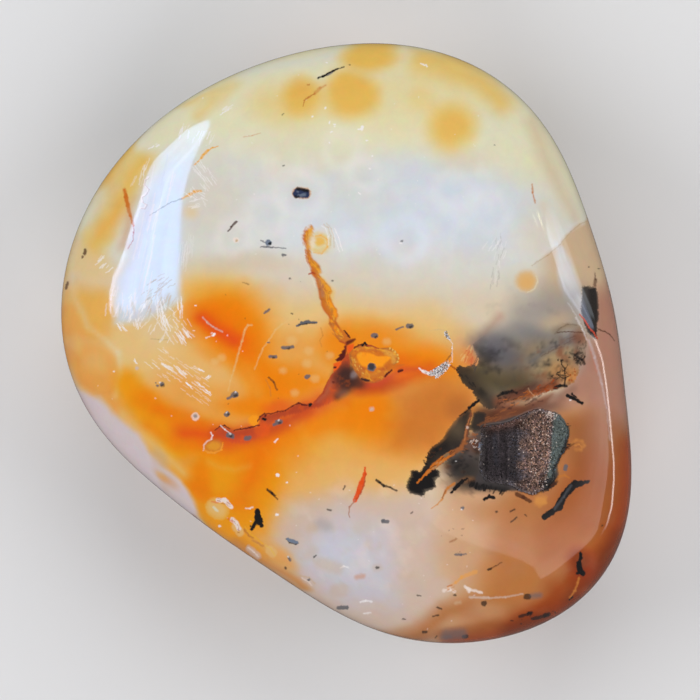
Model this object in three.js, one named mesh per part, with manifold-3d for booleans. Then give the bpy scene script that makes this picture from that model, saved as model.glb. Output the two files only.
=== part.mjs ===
// A polished carnelian palm stone, in millimetres, +Z up, lying on its ground flat.
// The stone is one freeform pebble: a crown above a girdle, a shallower back below it.
// A natural pocket opens in the crown, and a crust of small quartz crystals lines it.
import * as THREE from "three";
import { mergeVertices } from "three/addons/utils/BufferGeometryUtils.js";
import Module from "manifold-3d";

const wasm = await Module();
wasm.setup();

// The rim seen from above: its distance from the crown's axis, every 20 degrees from +X.
const RIM_RADII = [
  25.9, 25.5, 27.2, 29.6, 30.2, 29.8, 29.8, 30.2, 30.3,
  29.4, 26.8, 24.1, 23.6, 25.7, 29.8, 32.9, 33.0, 28.7,
];
const CROWN_AXIS = { x: 1.4, y: -0.2 };

// Heights over the surface that the stone lies on.
const THICKNESS = 24;
const GIRDLE_HEIGHT = 11.4;
const GIRDLE_TILT = { height: 0.9, azimuth: 130 };
const GIRDLE_WAVE = { height: 0.45, azimuth: 25 };
const GROUND_OFF = 0.5; // how much of the back the flat has taken off
const FLAT_BLEND = 0.12; // half the height over which the flat fades into the back

// How square the profile is: 2 is an ellipse, and 3 has a flat face and a tight shoulder.
const CROWN_SHOULDER = { mean: 2.75, swing: 0.7, azimuth: -15 };
const BACK_SHOULDER = { mean: 2.3, swing: 0.15, azimuth: 60 };

// The pocket: its mouth seen from above, every 36 degrees, and its depth.
const POCKET = {
  x: 17.1,
  y: -10.7,
  radii: [3.9, 4.8, 4.2, 3.6, 4.7, 4.0, 4.5, 3.5, 4.0, 3.9],
  depth: 2.8,
  deeperTowardsLeft: 0.17, // mm of depth for each mm along -X
  wallPower: 4.5,
  floorPower: 0.6,
};

// The crust that lines the pocket.
const CRUST = {
  sideGap: 0.5,
  underGap: 0.4,
  reach: 0.93, // how far up the wall it grows, as a share of its own radius
  thickness: 0.45,
  crystalHeight: 0.6,
  unevenness: 0.3, // how far a crystal's corners stray, as a share of its cell
  rings: 8,
  sectors: 22,
};

// Open pits in the polish: centre, length, width, the way they run, and depth.
const PITS = [
  { x: 9.0, y: -2.7, length: 3.6, width: 1.2, azimuth: 38, depth: 0.6 },
  { x: 9.9, y: 0.2, length: 3.0, width: 0.8, azimuth: 110, depth: 0.5 },
  { x: -4.2, y: 14.4, length: 2.1, width: 1.5, azimuth: -10, depth: 0.5 },
  { x: -7.3, y: 9.5, length: 2.2, width: 1.1, azimuth: 10, depth: 0.4 },
  { x: -10.8, y: 11.2, length: 1.3, width: 0.9, azimuth: 40, depth: 0.35 },
  { x: -3.6, y: 2.0, length: 2.4, width: 0.8, azimuth: 5, depth: 0.35 },
  { x: -10.8, y: -5.0, length: 1.7, width: 1.0, azimuth: 25, depth: 0.4 },
  { x: -8.4, y: -16.9, length: 2.4, width: 1.3, azimuth: 100, depth: 0.5 },
];

// How finely the solids are faceted.
const SECTORS = 72;
const CROWN_RINGS = 24;
const BACK_RINGS = 19;
const RING_CROWDING = 1.5; // above 1, rings close up towards the girdle
const PIT_SEGMENTS = { around: 10, down: 6 };

const radians = THREE.MathUtils.degToRad;

// The radius of a closed loop at an azimuth, from radii at equal steps: the smoothest wave through them all.
function loopRadius(radii, azimuth) {
  const count = radii.length;
  return radii.reduce((sum, radius, i) => {
    const away = azimuth - (2 * Math.PI * i) / count;
    const half = Math.sin(away / 2);
    if (Math.abs(half) < 1e-9) return sum + radius;
    const weight = (Math.sin((count * away) / 2) * Math.cos(away / 2)) / (count * half);
    return sum + radius * weight;
  }, 0);
}

// A value that swings once round the stone, highest at its own azimuth.
const swung = ({ mean, swing, azimuth }, at) =>
  mean + swing * Math.cos(at - radians(azimuth));

function girdleHeight(azimuth) {
  const tilt = GIRDLE_TILT.height * Math.cos(azimuth - radians(GIRDLE_TILT.azimuth));
  const wave = GIRDLE_WAVE.height * Math.cos(2 * (azimuth - radians(GIRDLE_WAVE.azimuth)));
  return GIRDLE_HEIGHT + tilt + wave;
}

// The share of the full height left at a share of the rim's radius.
const profile = (share, power) => Math.pow(Math.max(0, 1 - Math.pow(share, power)), 1 / power);

function crownHeight(azimuth, share) {
  const girdle = girdleHeight(azimuth);
  return girdle + (THICKNESS - girdle) * profile(share, swung(CROWN_SHOULDER, azimuth));
}

// The back is a shallower dome that dips below the surface, and the ground flat cuts it there.
function backHeight(azimuth, share) {
  const girdle = girdleHeight(azimuth);
  const dome = girdle - (girdle + GROUND_OFF) * profile(share, swung(BACK_SHOULDER, azimuth));
  if (dome <= -FLAT_BLEND) return 0;
  if (dome >= FLAT_BLEND) return dome;
  return (dome + FLAT_BLEND) ** 2 / (4 * FLAT_BLEND);
}

function crownHeightAt(x, y) {
  const azimuth = Math.atan2(y - CROWN_AXIS.y, x - CROWN_AXIS.x);
  const away = Math.hypot(y - CROWN_AXIS.y, x - CROWN_AXIS.x);
  return crownHeight(azimuth, away / loopRadius(RIM_RADII, azimuth));
}

// A closed skin from a first point, rings of points from there outwards and on, and a last point.
function closedSkin(first, rings, last) {
  const points = [first, ...rings.flat(), last];
  const size = rings[0].length;
  const at = (ring, sector) => 1 + ring * size + (sector % size);
  const faces = [];
  for (let s = 0; s < size; s++) {
    faces.push(0, at(0, s), at(0, s + 1));
    for (let r = 0; r < rings.length - 1; r++) {
      faces.push(at(r, s), at(r + 1, s), at(r + 1, s + 1));
      faces.push(at(r, s), at(r + 1, s + 1), at(r, s + 1));
    }
    faces.push(at(rings.length - 1, s), points.length - 1, at(rings.length - 1, s + 1));
  }
  const geometry = new THREE.BufferGeometry().setFromPoints(points);
  geometry.setIndex(faces);
  return geometry;
}

const ringOf = (size, pointAt) =>
  Array.from({ length: size }, (_, s) => pointAt((2 * Math.PI * s) / size, s));

// One ring of the pebble: turn is 0 on the crown's axis and 1 at the girdle.
function pebbleRing(turn, shoulder, heightAt) {
  const angle = (Math.PI / 2) * (1 - Math.pow(1 - turn, RING_CROWDING));
  return ringOf(SECTORS, (azimuth) => {
    const share = Math.pow(Math.sin(angle), 2 / swung(shoulder, azimuth));
    const radius = share * loopRadius(RIM_RADII, azimuth);
    return new THREE.Vector3(
      CROWN_AXIS.x + radius * Math.cos(azimuth),
      CROWN_AXIS.y + radius * Math.sin(azimuth),
      heightAt(azimuth, share),
    );
  });
}

function pebble() {
  const rings = [];
  for (let r = 1; r <= CROWN_RINGS; r++)
    rings.push(pebbleRing(r / CROWN_RINGS, CROWN_SHOULDER, crownHeight));
  for (let r = BACK_RINGS - 1; r >= 1; r--)
    rings.push(pebbleRing(r / BACK_RINGS, BACK_SHOULDER, backHeight));
  const top = new THREE.Vector3(CROWN_AXIS.x, CROWN_AXIS.y, THICKNESS);
  const foot = new THREE.Vector3(CROWN_AXIS.x, CROWN_AXIS.y, 0);
  return closedSkin(top, rings, foot);
}

// Depth below the polish at a share of the mouth's radius: a bowl with a steep wall.
function pocketDepth(x, share, depth) {
  const bowl = Math.pow(Math.max(0, 1 - Math.pow(share, POCKET.wallPower)), POCKET.floorPower);
  return (depth + POCKET.deeperTowardsLeft * (POCKET.x - x)) * bowl;
}

// A point over the pocket, some way in from its mouth and down from the polish.
function pocketPoint(azimuth, share, sideGap, underGap) {
  const radius = share * (loopRadius(POCKET.radii, azimuth) - sideGap);
  const x = POCKET.x + radius * Math.cos(azimuth);
  const y = POCKET.y + radius * Math.sin(azimuth);
  return new THREE.Vector3(x, y, crownHeightAt(x, y) - pocketDepth(x, share, POCKET.depth - underGap));
}

// What the pocket takes out of the pebble, open well above the crown.
function pocketCutter() {
  const steps = 9;
  const around = 40;
  const clear = THICKNESS + 5;
  const rings = [];
  for (let r = steps - 1; r >= 0; r--) {
    const share = Math.cos((r / steps) * (Math.PI / 2));
    rings.unshift(ringOf(around, (azimuth) => pocketPoint(azimuth, share, 0, 0)));
  }
  const lip = rings[0].map((point) => point.clone().setZ(clear));
  const top = new THREE.Vector3(POCKET.x, POCKET.y, clear);
  return closedSkin(top, [lip, ...rings], pocketPoint(0, 0, 0, 0));
}

// A lens sunk in the polish, tilted with the crown there.
function pitCutter({ x, y, length, width, azimuth, depth }) {
  const slope = 0.5;
  const normal = new THREE.Vector3(
    crownHeightAt(x - slope, y) - crownHeightAt(x + slope, y),
    crownHeightAt(x, y - slope) - crownHeightAt(x, y + slope),
    2 * slope,
  ).normalize();
  const tilt = new THREE.Quaternion().setFromUnitVectors(new THREE.Vector3(0, 0, 1), normal);
  return new THREE.SphereGeometry(1, PIT_SEGMENTS.around, PIT_SEGMENTS.down)
    .rotateX(Math.PI / 2)
    .scale(length / 2, width / 2, depth)
    .rotateZ(radians(azimuth))
    .applyQuaternion(tilt)
    .translate(x, y, crownHeightAt(x, y));
}

function solidOf(geometry) {
  geometry.deleteAttribute("normal");
  geometry.deleteAttribute("uv");
  const merged = mergeVertices(geometry, 1e-4);
  return new wasm.Manifold(
    new wasm.Mesh({
      numProp: 3,
      vertProperties: merged.attributes.position.array,
      triVerts: new Uint32Array(merged.index.array),
    }),
  );
}

function geometryOf(solid) {
  const { vertProperties, triVerts } = solid.getMesh();
  const geometry = new THREE.BufferGeometry();
  geometry.setAttribute("position", new THREE.BufferAttribute(vertProperties, 3));
  geometry.setIndex(new THREE.BufferAttribute(triVerts, 1));
  return geometry;
}

function stone() {
  const cutters = [pocketCutter(), ...PITS.map(pitCutter)];
  return geometryOf(cutters.reduce((body, cutter) => body.subtract(solidOf(cutter)), solidOf(pebble())));
}

// A repeatable number from 0 to 1 for a ring and a sector.
function scatter(ring, sector, salt) {
  const wave = Math.sin(ring * 12.9898 + sector * 78.233 + salt * 37.719) * 43758.5453;
  return wave - Math.floor(wave);
}

// The crust: its underside follows the pocket, and each cell of its face rises to a crystal's point.
function crust() {
  const { rings, sectors, reach, thickness, crystalHeight, unevenness, sideGap, underGap } = CRUST;
  const up = new THREE.Vector3(0, 0, 1);
  const under = (ring, azimuth) => pocketPoint(azimuth, (reach * ring) / rings, sideGap, underGap);
  const face = (ring, azimuth) => {
    const stray = ring === 0 || ring === rings ? 0 : unevenness;
    const inwards = stray * (scatter(ring, azimuth, 1) - 0.5);
    const sideways = ((stray * 2 * Math.PI) / sectors) * (scatter(ring, azimuth, 2) - 0.5);
    return under(ring + inwards, azimuth + sideways).addScaledVector(up, thickness);
  };
  const points = [];
  const faces = [];
  const add = (point) => points.push(point) - 1;
  const turn = (sector) => (2 * Math.PI * (sector % sectors)) / sectors;
  const underCentre = add(under(0, 0));
  const faceCentre = add(face(0, 0));
  const ringIds = (pointAt) =>
    Array.from({ length: rings }, (_, r) =>
      Array.from({ length: sectors }, (__, s) => add(pointAt(r + 1, turn(s)))),
    );
  const underIds = ringIds(under);
  const faceIds = ringIds(face);
  for (let s = 0; s < sectors; s++) {
    const next = (s + 1) % sectors;
    faces.push(faceCentre, faceIds[0][s], faceIds[0][next]);
    faces.push(underCentre, underIds[0][next], underIds[0][s]);
    for (let r = 0; r < rings - 1; r++) {
      const cell = [faceIds[r][s], faceIds[r + 1][s], faceIds[r + 1][next], faceIds[r][next]];
      const weights = cell.map((_, i) => 0.4 + scatter(r, s, i));
      const total = weights.reduce((a, b) => a + b);
      const tip = new THREE.Vector3();
      cell.forEach((id, i) => tip.addScaledVector(points[id], weights[i] / total));
      tip.z += crystalHeight * (0.45 + 0.55 * scatter(r, s, 9));
      const apex = add(tip);
      cell.forEach((id, i) => faces.push(id, cell[(i + 1) % 4], apex));
      faces.push(underIds[r][s], underIds[r + 1][next], underIds[r + 1][s]);
      faces.push(underIds[r][s], underIds[r][next], underIds[r + 1][next]);
    }
    const [edge, below] = [faceIds[rings - 1], underIds[rings - 1]];
    faces.push(edge[s], below[s], below[next]);
    faces.push(edge[s], below[next], edge[next]);
  }
  const geometry = new THREE.BufferGeometry().setFromPoints(points);
  geometry.setIndex(faces);
  return geometry;
}

const chalcedony = new THREE.MeshStandardMaterial({ color: 0xdf9a58, roughness: 0.06, metalness: 0 });
const druse = new THREE.MeshStandardMaterial({ color: 0x5a4438, roughness: 0.3, metalness: 0 });

const palmStone = new THREE.Mesh(stone(), chalcedony);
palmStone.name = "palm_stone";
const quartzCrust = new THREE.Mesh(crust(), druse);
quartzCrust.name = "quartz_crust";

// The origin is under the middle of the stone's box, on the surface that it lies on.
const box = new THREE.Box3().setFromBufferAttribute(palmStone.geometry.getAttribute("position"));
const middle = box.getCenter(new THREE.Vector3());
const part = new THREE.Group();
part.add(palmStone, quartzCrust);
for (const mesh of part.children) mesh.position.set(-middle.x, -middle.y, -box.min.z);

export default part;
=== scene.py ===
# %% [markdown]
# # A carnelian palm stone
# The real thing is one pebble of chalcedony, ground and polished by hand until it lies well in a palm.
# Its surface is a mirror, and nearly all that the eye sees is colour inside the stone: milky and honey
# clouds, an orange glow, rust-red healed cracks, and black inclusions. Only the crystal pocket is open.
# So this lesson spends little on form and much on colour: one fine skin carries painted clouds in its
# vertices, and the shader draws the sharp marks on top of them.

# %% Load the frame
import math
import bpy
import numpy as np
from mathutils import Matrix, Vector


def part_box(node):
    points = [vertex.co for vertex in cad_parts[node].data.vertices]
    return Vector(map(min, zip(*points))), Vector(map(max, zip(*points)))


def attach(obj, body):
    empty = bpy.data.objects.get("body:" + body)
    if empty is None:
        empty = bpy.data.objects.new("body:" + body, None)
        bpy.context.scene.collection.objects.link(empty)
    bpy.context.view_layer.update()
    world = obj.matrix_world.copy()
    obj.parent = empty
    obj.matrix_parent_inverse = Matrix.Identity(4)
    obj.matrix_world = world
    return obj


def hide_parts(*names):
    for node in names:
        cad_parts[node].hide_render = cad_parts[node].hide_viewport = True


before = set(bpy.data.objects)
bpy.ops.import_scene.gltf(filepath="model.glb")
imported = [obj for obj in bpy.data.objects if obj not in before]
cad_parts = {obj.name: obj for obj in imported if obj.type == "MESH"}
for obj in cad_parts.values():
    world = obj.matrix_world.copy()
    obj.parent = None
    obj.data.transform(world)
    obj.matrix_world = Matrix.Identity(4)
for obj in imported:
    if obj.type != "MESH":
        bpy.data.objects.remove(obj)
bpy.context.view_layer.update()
MM = 0.001
STONE_LOW, STONE_HIGH = (np.array(corner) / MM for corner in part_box("palm_stone"))
print("stone box in mm", STONE_LOW.round(2), STONE_HIGH.round(2))

# %% [markdown]
# ## The camera
# The camera looks straight down on the lying stone, from 300 mm over its rim. The picture is 700 pixels
# wide and spans 70 mm at the rim's height, so one pixel is a tenth of a millimetre there. Marks are placed
# by the pixel where they are seen, and a point nearer to the lens looks further from the middle.

# %% Camera
PICTURE = 700
PIXEL = 0.1
GIRDLE_HEIGHT = 11.4
LENS_DISTANCE = 300.0
SENSOR = 36.0
ORIGIN_PIXEL = np.array([346.0, 343.5])
EYE = np.array([(PICTURE / 2 - ORIGIN_PIXEL[0]) * PIXEL, (ORIGIN_PIXEL[1] - PICTURE / 2) * PIXEL])


def seen_pixel(points):
    """The pixel where a point shows: its offset from the lens's axis grows as it comes nearer the lens."""
    nearness = LENS_DISTANCE / (LENS_DISTANCE - (points[..., 2] - GIRDLE_HEIGHT))
    flat = EYE + (points[..., :2] - EYE) * nearness[..., None]
    return np.stack([ORIGIN_PIXEL[0] + flat[..., 0] / PIXEL, ORIGIN_PIXEL[1] - flat[..., 1] / PIXEL], axis=-1)


camera = bpy.data.cameras.new("camera")
camera.sensor_width = SENSOR
camera.lens = SENSOR * LENS_DISTANCE / (PICTURE * PIXEL)
camera_object = bpy.data.objects.new("camera", camera)
camera_object.location = (EYE[0] * MM, EYE[1] * MM, (GIRDLE_HEIGHT + LENS_DISTANCE) * MM)
bpy.context.collection.objects.link(camera_object)
bpy.context.scene.camera = camera_object
print("lens", round(camera.lens, 1), "mm")

# %% [markdown]
# ## The pebble's form
# A palm stone has no straight lines. It could be sculpted, but a formula keeps it exact and smooth: a rim
# seen from above, a crown that rises from it with a flat face and a tight shoulder, and a shallower back
# that ends in a small ground flat. A superellipse gives both domes, and its power says how square they are.

# %% Form
RIM_RADII = np.array([
    25.9, 25.5, 27.2, 29.6, 30.2, 29.8, 29.8, 30.2, 30.3,
    29.4, 26.8, 24.1, 23.6, 25.7, 29.8, 32.9, 33.0, 28.7,
])
CROWN_AXIS = np.array([1.4, -0.2])
THICKNESS = 24.0
GIRDLE_TILT = {"height": 0.9, "azimuth": 130}
GIRDLE_WAVE = {"height": 0.45, "azimuth": 25}
GROUND_OFF = 0.5
FLAT_BLEND = 0.12
CROWN_SHOULDER = {"mean": 2.75, "swing": 0.7, "azimuth": -15}
BACK_SHOULDER = {"mean": 2.3, "swing": 0.15, "azimuth": 60}


def loop_radius(radii, azimuth):
    """The radius of a closed loop: the smoothest wave through radii given at equal steps of azimuth."""
    count = len(radii)
    away = np.asarray(azimuth)[..., None] - 2 * np.pi * np.arange(count) / count
    half = np.sin(away / 2)
    on_step = np.abs(half) < 1e-9
    wave = np.sin(count * away / 2) * np.cos(away / 2) / (count * np.where(on_step, 1.0, half))
    return np.where(on_step, 1.0, wave) @ radii


def swung(shoulder, azimuth):
    """A power that swings once round the stone: mean + swing * cos(azimuth from its own)."""
    return shoulder["mean"] + shoulder["swing"] * np.cos(azimuth - math.radians(shoulder["azimuth"]))


def girdle_height(azimuth):
    """The rim's height: level, plus a tilt of one wave round the stone, plus two smaller waves."""
    tilt = GIRDLE_TILT["height"] * np.cos(azimuth - math.radians(GIRDLE_TILT["azimuth"]))
    wave = GIRDLE_WAVE["height"] * np.cos(2 * (azimuth - math.radians(GIRDLE_WAVE["azimuth"])))
    return GIRDLE_HEIGHT + tilt + wave


def dome(share, power):
    """The superellipse: the height left at a share of the radius is (1 - share^p)^(1/p)."""
    return np.maximum(0, 1 - share ** power) ** (1 / power)


def crown_height(azimuth, share):
    """The girdle's height, plus the rest of the thickness times the dome."""
    girdle = girdle_height(azimuth)
    return girdle + (THICKNESS - girdle) * dome(share, swung(CROWN_SHOULDER, azimuth))


def back_height(azimuth, share):
    """The girdle's height less a dome that dips under the floor; a parabola eases it into the flat."""
    girdle = girdle_height(azimuth)
    depth = girdle - (girdle + GROUND_OFF) * dome(share, swung(BACK_SHOULDER, azimuth))
    eased = (depth + FLAT_BLEND) ** 2 / (4 * FLAT_BLEND)
    return np.where(depth <= -FLAT_BLEND, 0, np.where(depth >= FLAT_BLEND, depth, eased))


def crown_at(xy):
    """The crown's height over a place: its azimuth and share of the rim's radius, put into the dome."""
    away = xy - CROWN_AXIS
    azimuth = np.arctan2(away[..., 1], away[..., 0])
    share = np.hypot(away[..., 0], away[..., 1]) / loop_radius(RIM_RADII, azimuth)
    return crown_height(azimuth, np.minimum(share, 1)), share


# %% [markdown]
# Hand polishing leaves faint waves that make the reflections swim a little. Three crossed sine waves, a few
# hundredths of a millimetre high, give them, and they fade out before the rim so that the size stays true.

# %% Polishing waves
SWELLS = [(9.5, 20, 0.4, 0.022), (12.0, 95, 1.9, 0.03), (7.4, 150, 3.1, 0.012)]
ROUNDS = 6


def swell(xy, share):
    """Each wave is height * sin(2 pi * distance along its way / length + phase), faded by 1 - share^4."""
    total = 0
    for length, way, phase, height in SWELLS:
        along = xy[..., 0] * math.cos(math.radians(way)) + xy[..., 1] * math.sin(math.radians(way))
        total = total + height * np.sin(2 * np.pi * along / length + phase)
    return total * np.maximum(0, 1 - share ** 4)


def polished_at(xy):
    """The crown with its polishing waves."""
    height, share = crown_at(xy)
    return height + swell(xy, share)


def polish_point(pixels):
    """The crown point that shows at a pixel: start at the rim's height, and correct for nearness in turns."""
    flat = np.stack([(pixels[..., 0] - ORIGIN_PIXEL[0]) * PIXEL, (ORIGIN_PIXEL[1] - pixels[..., 1]) * PIXEL],
                    -1)
    height = np.full(flat.shape[:-1], GIRDLE_HEIGHT)
    for _ in range(ROUNDS):
        nearness = LENS_DISTANCE / (LENS_DISTANCE - (height - GIRDLE_HEIGHT))
        xy = EYE + (flat - EYE) / nearness[..., None]
        height = polished_at(xy)
    return np.concatenate([xy, height[..., None]], axis=-1)


print("crown over the middle", round(float(polish_point(np.array([350.0, 350.0]))[2]), 2), "mm")

# %% [markdown]
# ## Distances to drawn shapes
# Pockets, black inclusions and cracks are drawn as outlines and lines in picture pixels. A distance to the
# outline, negative inside, is worth more than a yes or no: it gives a soft edge, a rim or a slope at will.

# %% Distances
FAR = 1e9


def smooth(low, high, value):
    """0 below low and 1 above high, joined by the S curve t*t*(3 - 2t)."""
    t = np.clip((value - low) / (high - low), 0, 1)
    return t * t * (3 - 2 * t)


def line_frame(at, points, widths=0.0):
    """Distance to a broken line less its half width, the signed distance across it, and the way along it."""
    points = np.asarray(points, float)
    widths = np.broadcast_to(np.asarray(widths, float), len(points))
    gap = np.full(len(at), FAR)
    across = np.full(len(at), FAR)
    along = np.zeros(len(at))
    start = 0.0
    for a, b, width_a, width_b in zip(points[:-1], points[1:], widths[:-1], widths[1:]):
        run = b - a
        length = max(np.hypot(*run), 1e-9)
        t = np.clip((at - a) @ run / length ** 2, 0, 1)
        off = at - a - t[:, None] * run
        distance = np.hypot(off[:, 0], off[:, 1])
        here = distance - (width_a + (width_b - width_a) * t) / 2
        side = np.sign(run[0] * (at[:, 1] - a[1]) - run[1] * (at[:, 0] - a[0]))
        nearer = here < gap
        gap = np.where(nearer, here, gap)
        across = np.where(nearer, distance * side, across)
        along = np.where(nearer, start + t * length, along)
        start += length
    return gap, across, along


def patch_gap(at, corners):
    """Signed distance to a closed outline: a ray to the right crosses it an odd number of times inside."""
    corners = np.asarray(corners, float)
    gap = line_frame(at, np.vstack([corners, corners[:1]]))[0]
    inside = np.zeros(len(at), bool)
    for a, b in zip(corners, np.roll(corners, -1, axis=0)):
        rise = b[1] - a[1] if b[1] != a[1] else 1e-9
        crosses = (a[1] > at[:, 1]) != (b[1] > at[:, 1])
        inside ^= crosses & (at[:, 0] < a[0] + (b[0] - a[0]) * (at[:, 1] - a[1]) / rise)
    return np.where(inside, -gap, gap)


def blob(at, x, y, across, tall=None, turn=0.0, soft=0.8):
    """1 in the middle of an ellipse, 0 outside it, with an edge as wide as soft times its radius."""
    angle = math.radians(turn)
    dx = at[:, 0] - x
    dy = y - at[:, 1]
    u = (dx * math.cos(angle) + dy * math.sin(angle)) / across
    v = (dy * math.cos(angle) - dx * math.sin(angle)) / (tall or across)
    return 1 - smooth(1 - soft, 1 + soft, np.hypot(u, v))


def halo(at, x, y, radius, outside=5, inside=3):
    """A soft ring: a blob that is wider than the radius, less one that is narrower."""
    wide = blob(at, x, y, radius + outside, soft=0.4)
    return np.maximum(0, wide - blob(at, x, y, radius - inside, soft=0.6))


def band(at, points, widths, soft):
    """1 on a broad line and 0 beside it."""
    return 1 - smooth(-soft, soft, line_frame(at, points, widths)[0])


def patch(at, corners, soft):
    """1 inside a closed outline and 0 outside it."""
    return 1 - smooth(-soft, soft, patch_gap(at, corners))


# %% [markdown]
# ## Mist
# Clouds in stone have no drawn edges. Soft random numbers on a cube lattice, blended and added in finer and
# fainter layers, push every drawn shape about, so that its edge wanders as a real one does.

# %% Mist
OCTAVE_STEP = 17.3


def lattice_value(cell, seed):
    """A repeatable number from -1 to 1 for each cell, by mixing the bits of its three whole numbers."""
    x, y, z = (cell[..., i].astype(np.int64) for i in range(3))
    mixed = (x * 73856093) ^ (y * 19349663) ^ (z * 83492791) ^ (seed * 2654435761)
    mixed = (mixed ^ (mixed >> 13)) * 1274126177 & 0xFFFFFFFF
    mixed = (mixed ^ (mixed >> 16)) * 2246822519 & 0xFFFFFFFF
    return (mixed & 0xFFFF) / 32767.5 - 1


def mist(place, size, seed, octaves=3):
    """Random corners blended along S curves in each cell; each octave is half as large and half as strong."""
    total = np.zeros(len(place))
    for octave in range(octaves):
        at = place * (2 ** octave / size) + OCTAVE_STEP * octave
        cell = np.floor(at)
        t = at - cell
        t = t * t * (3 - 2 * t)
        value = 0
        for corner in np.ndindex(2, 2, 2):
            share = np.prod(np.where(corner, t, 1 - t), axis=1)
            value = value + share * lattice_value(cell + np.array(corner), seed + octave)
        total += value / 2 ** octave
    return total / (2 - 2 / 2 ** octaves)


def drifted(at, place, reach, size, seed):
    """Pixels pushed about by up to reach in both directions."""
    return at + reach * np.stack([mist(place, size, seed), mist(place, size, seed + 50)], axis=1)


# %% [markdown]
# ## The open pocket and pits
# The pocket is the one real hollow. Its mouth is drawn as an outline, and the skin is pushed down inside it:
# steeply at the wall, and deeper towards the left, where it is in shadow.

# %% Pocket and pits
POCKET_MOUTH = [
    (483, 427), (500, 425), (512, 422), (522, 416), (534, 411), (541, 409), (548, 411), (556, 413),
    (562, 420),
    (568, 427), (569, 437), (567, 449), (561, 459), (556, 470), (555, 480), (548, 489), (534, 495),
    (522, 492),
    (513, 486), (500, 484), (487, 482), (481, 470), (482, 452),
]
POCKET_DEPTH = 2.8
POCKET_MIDDLE = 17.1
DEEPER_LEFT = 0.17
POCKET_WALL = 7.0
PITS = [
    (9.0, -2.7, 3.6, 1.2, 38, 0.12), (9.9, 0.2, 3.0, 0.8, 110, 0.12), (-4.2, 14.9, 1.8, 1.0, -10, 0.05),
    (-7.6, 9.8, 1.2, 0.8, 10, 0.04), (-11.2, 11.8, 1.0, 0.3, 45, 0.03), (-11.0, -5.2, 1.2, 0.7, 25, 0.04),
    (-9.0, -17.9, 1.5, 1.0, 75, 0.06),
]


def pocket_drop(seen, x):
    """Depth times an S curve of the way in from the mouth."""
    depth = POCKET_DEPTH + DEEPER_LEFT * (POCKET_MIDDLE - x)
    return depth * smooth(0, POCKET_WALL, -patch_gap(seen, POCKET_MOUTH))


def pit_drop(xy):
    """Each pit is a bowl: depth * (1 - q*q), where q is 1 on the edge of its ellipse."""
    drop = np.zeros(len(xy))
    for x, y, length, width, way, depth in PITS:
        angle = math.radians(way)
        dx = xy[:, 0] - x
        dy = xy[:, 1] - y
        u = (dx * math.cos(angle) + dy * math.sin(angle)) / (length / 2)
        v = (dy * math.cos(angle) - dx * math.sin(angle)) / (width / 2)
        drop = np.maximum(drop, depth * np.maximum(0, 1 - u * u - v * v))
    return drop


# %% [markdown]
# ## The skin
# The skin is one closed surface on a polar grid. One parameter goes round the stone and the other from the
# crown's middle over the rim to the middle of the flat. Rings at equal steps of length along the profile
# keep the cells even, which matters because the cells carry the colours. The eye-like crack lies at the
# crown's middle, so the rings are closest there.

# %% Skin
SECTORS = 480
CROWN_RINGS = 172
BACK_RINGS = 32
PROFILE_STEPS = 4000
FINE_RADIUS = 6.5
FINENESS = 2.6


def even_shares(shoulder, height, count, fineness=1.0):
    """Shares of the radius at equal steps along the mean profile, which are closer inside FINE_RADIUS."""
    share = 1 - np.linspace(1, 0, PROFILE_STEPS) ** 3
    rise = height * dome(share, shoulder["mean"])
    radius = share * RIM_RADII.mean()
    step = np.hypot(np.diff(radius), np.diff(rise)) * np.where(radius[1:] < FINE_RADIUS, fineness, 1)
    length = np.concatenate([[0], np.cumsum(step)])
    return np.interp(np.linspace(0, length[-1], count + 1), length, share)


def stone_points():
    """Rows of the grid: crown rings outwards, then back rings inwards, each a loop of all azimuths."""
    azimuth = 2 * np.pi * np.arange(SECTORS) / SECTORS
    out = even_shares(CROWN_SHOULDER, THICKNESS - GIRDLE_HEIGHT, CROWN_RINGS, FINENESS)[1:]
    back = even_shares(BACK_SHOULDER, GIRDLE_HEIGHT, BACK_RINGS)[1:-1][::-1]
    share, turn = np.meshgrid(np.concatenate([out, back]), azimuth, indexing="ij")
    radius = share * loop_radius(RIM_RADII, azimuth)
    xy = CROWN_AXIS + radius[..., None] * np.stack([np.cos(turn), np.sin(turn)], axis=-1)
    crown = np.arange(len(share)) < CROWN_RINGS
    height = np.where(crown[:, None], crown_height(turn, share) + swell(xy, share), back_height(turn, share))
    rows = np.concatenate([xy, height[..., None]], axis=-1).reshape(-1, 3)
    middle = np.array([[*CROWN_AXIS, polished_at(CROWN_AXIS)]])
    foot = np.array([[*CROWN_AXIS, 0.0]])
    rim = rows[(CROWN_RINGS - 1) * SECTORS: CROWN_RINGS * SECTORS]
    on_crown = np.concatenate([[True], np.repeat(crown, SECTORS), [False]])
    rim_under = np.concatenate([middle, np.tile(rim, (len(share), 1)), foot])
    return np.concatenate([middle, rows, foot]), on_crown, rim_under


def ring_faces(rings, sectors):
    """Triangles round both poles, and four-sided faces between each ring and the next."""
    around = np.arange(sectors)
    after = (around + 1) % sectors
    starts = 1 + sectors * np.arange(rings - 1)[:, None]
    quads = np.stack([starts + around, starts + sectors + around, starts + sectors + after, starts + after],
                     -1)
    last = 1 + sectors * (rings - 1)
    top = np.stack([np.zeros(sectors, int), 1 + around, 1 + after], axis=-1)
    foot = np.stack([last + after, last + around, np.full(sectors, last + sectors)], axis=-1)
    return top.tolist() + quads.reshape(-1, 4).tolist() + foot.tolist()


points, on_crown, rim_under = stone_points()
seen = seen_pixel(points)
points[:, 2] -= on_crown * (pocket_drop(seen, points[:, 0]) + pit_drop(points[:, :2]))
faces = ring_faces(CROWN_RINGS + BACK_RINGS - 1, SECTORS)
SHIFT = (STONE_LOW + STONE_HIGH) / 2 - (points.min(0) + points.max(0)) / 2
SHIFT[2] = STONE_LOW[2] - points[:, 2].min()
print("skin", len(points), "points; it moves by", SHIFT.round(3), "mm to meet the frame")


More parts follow.
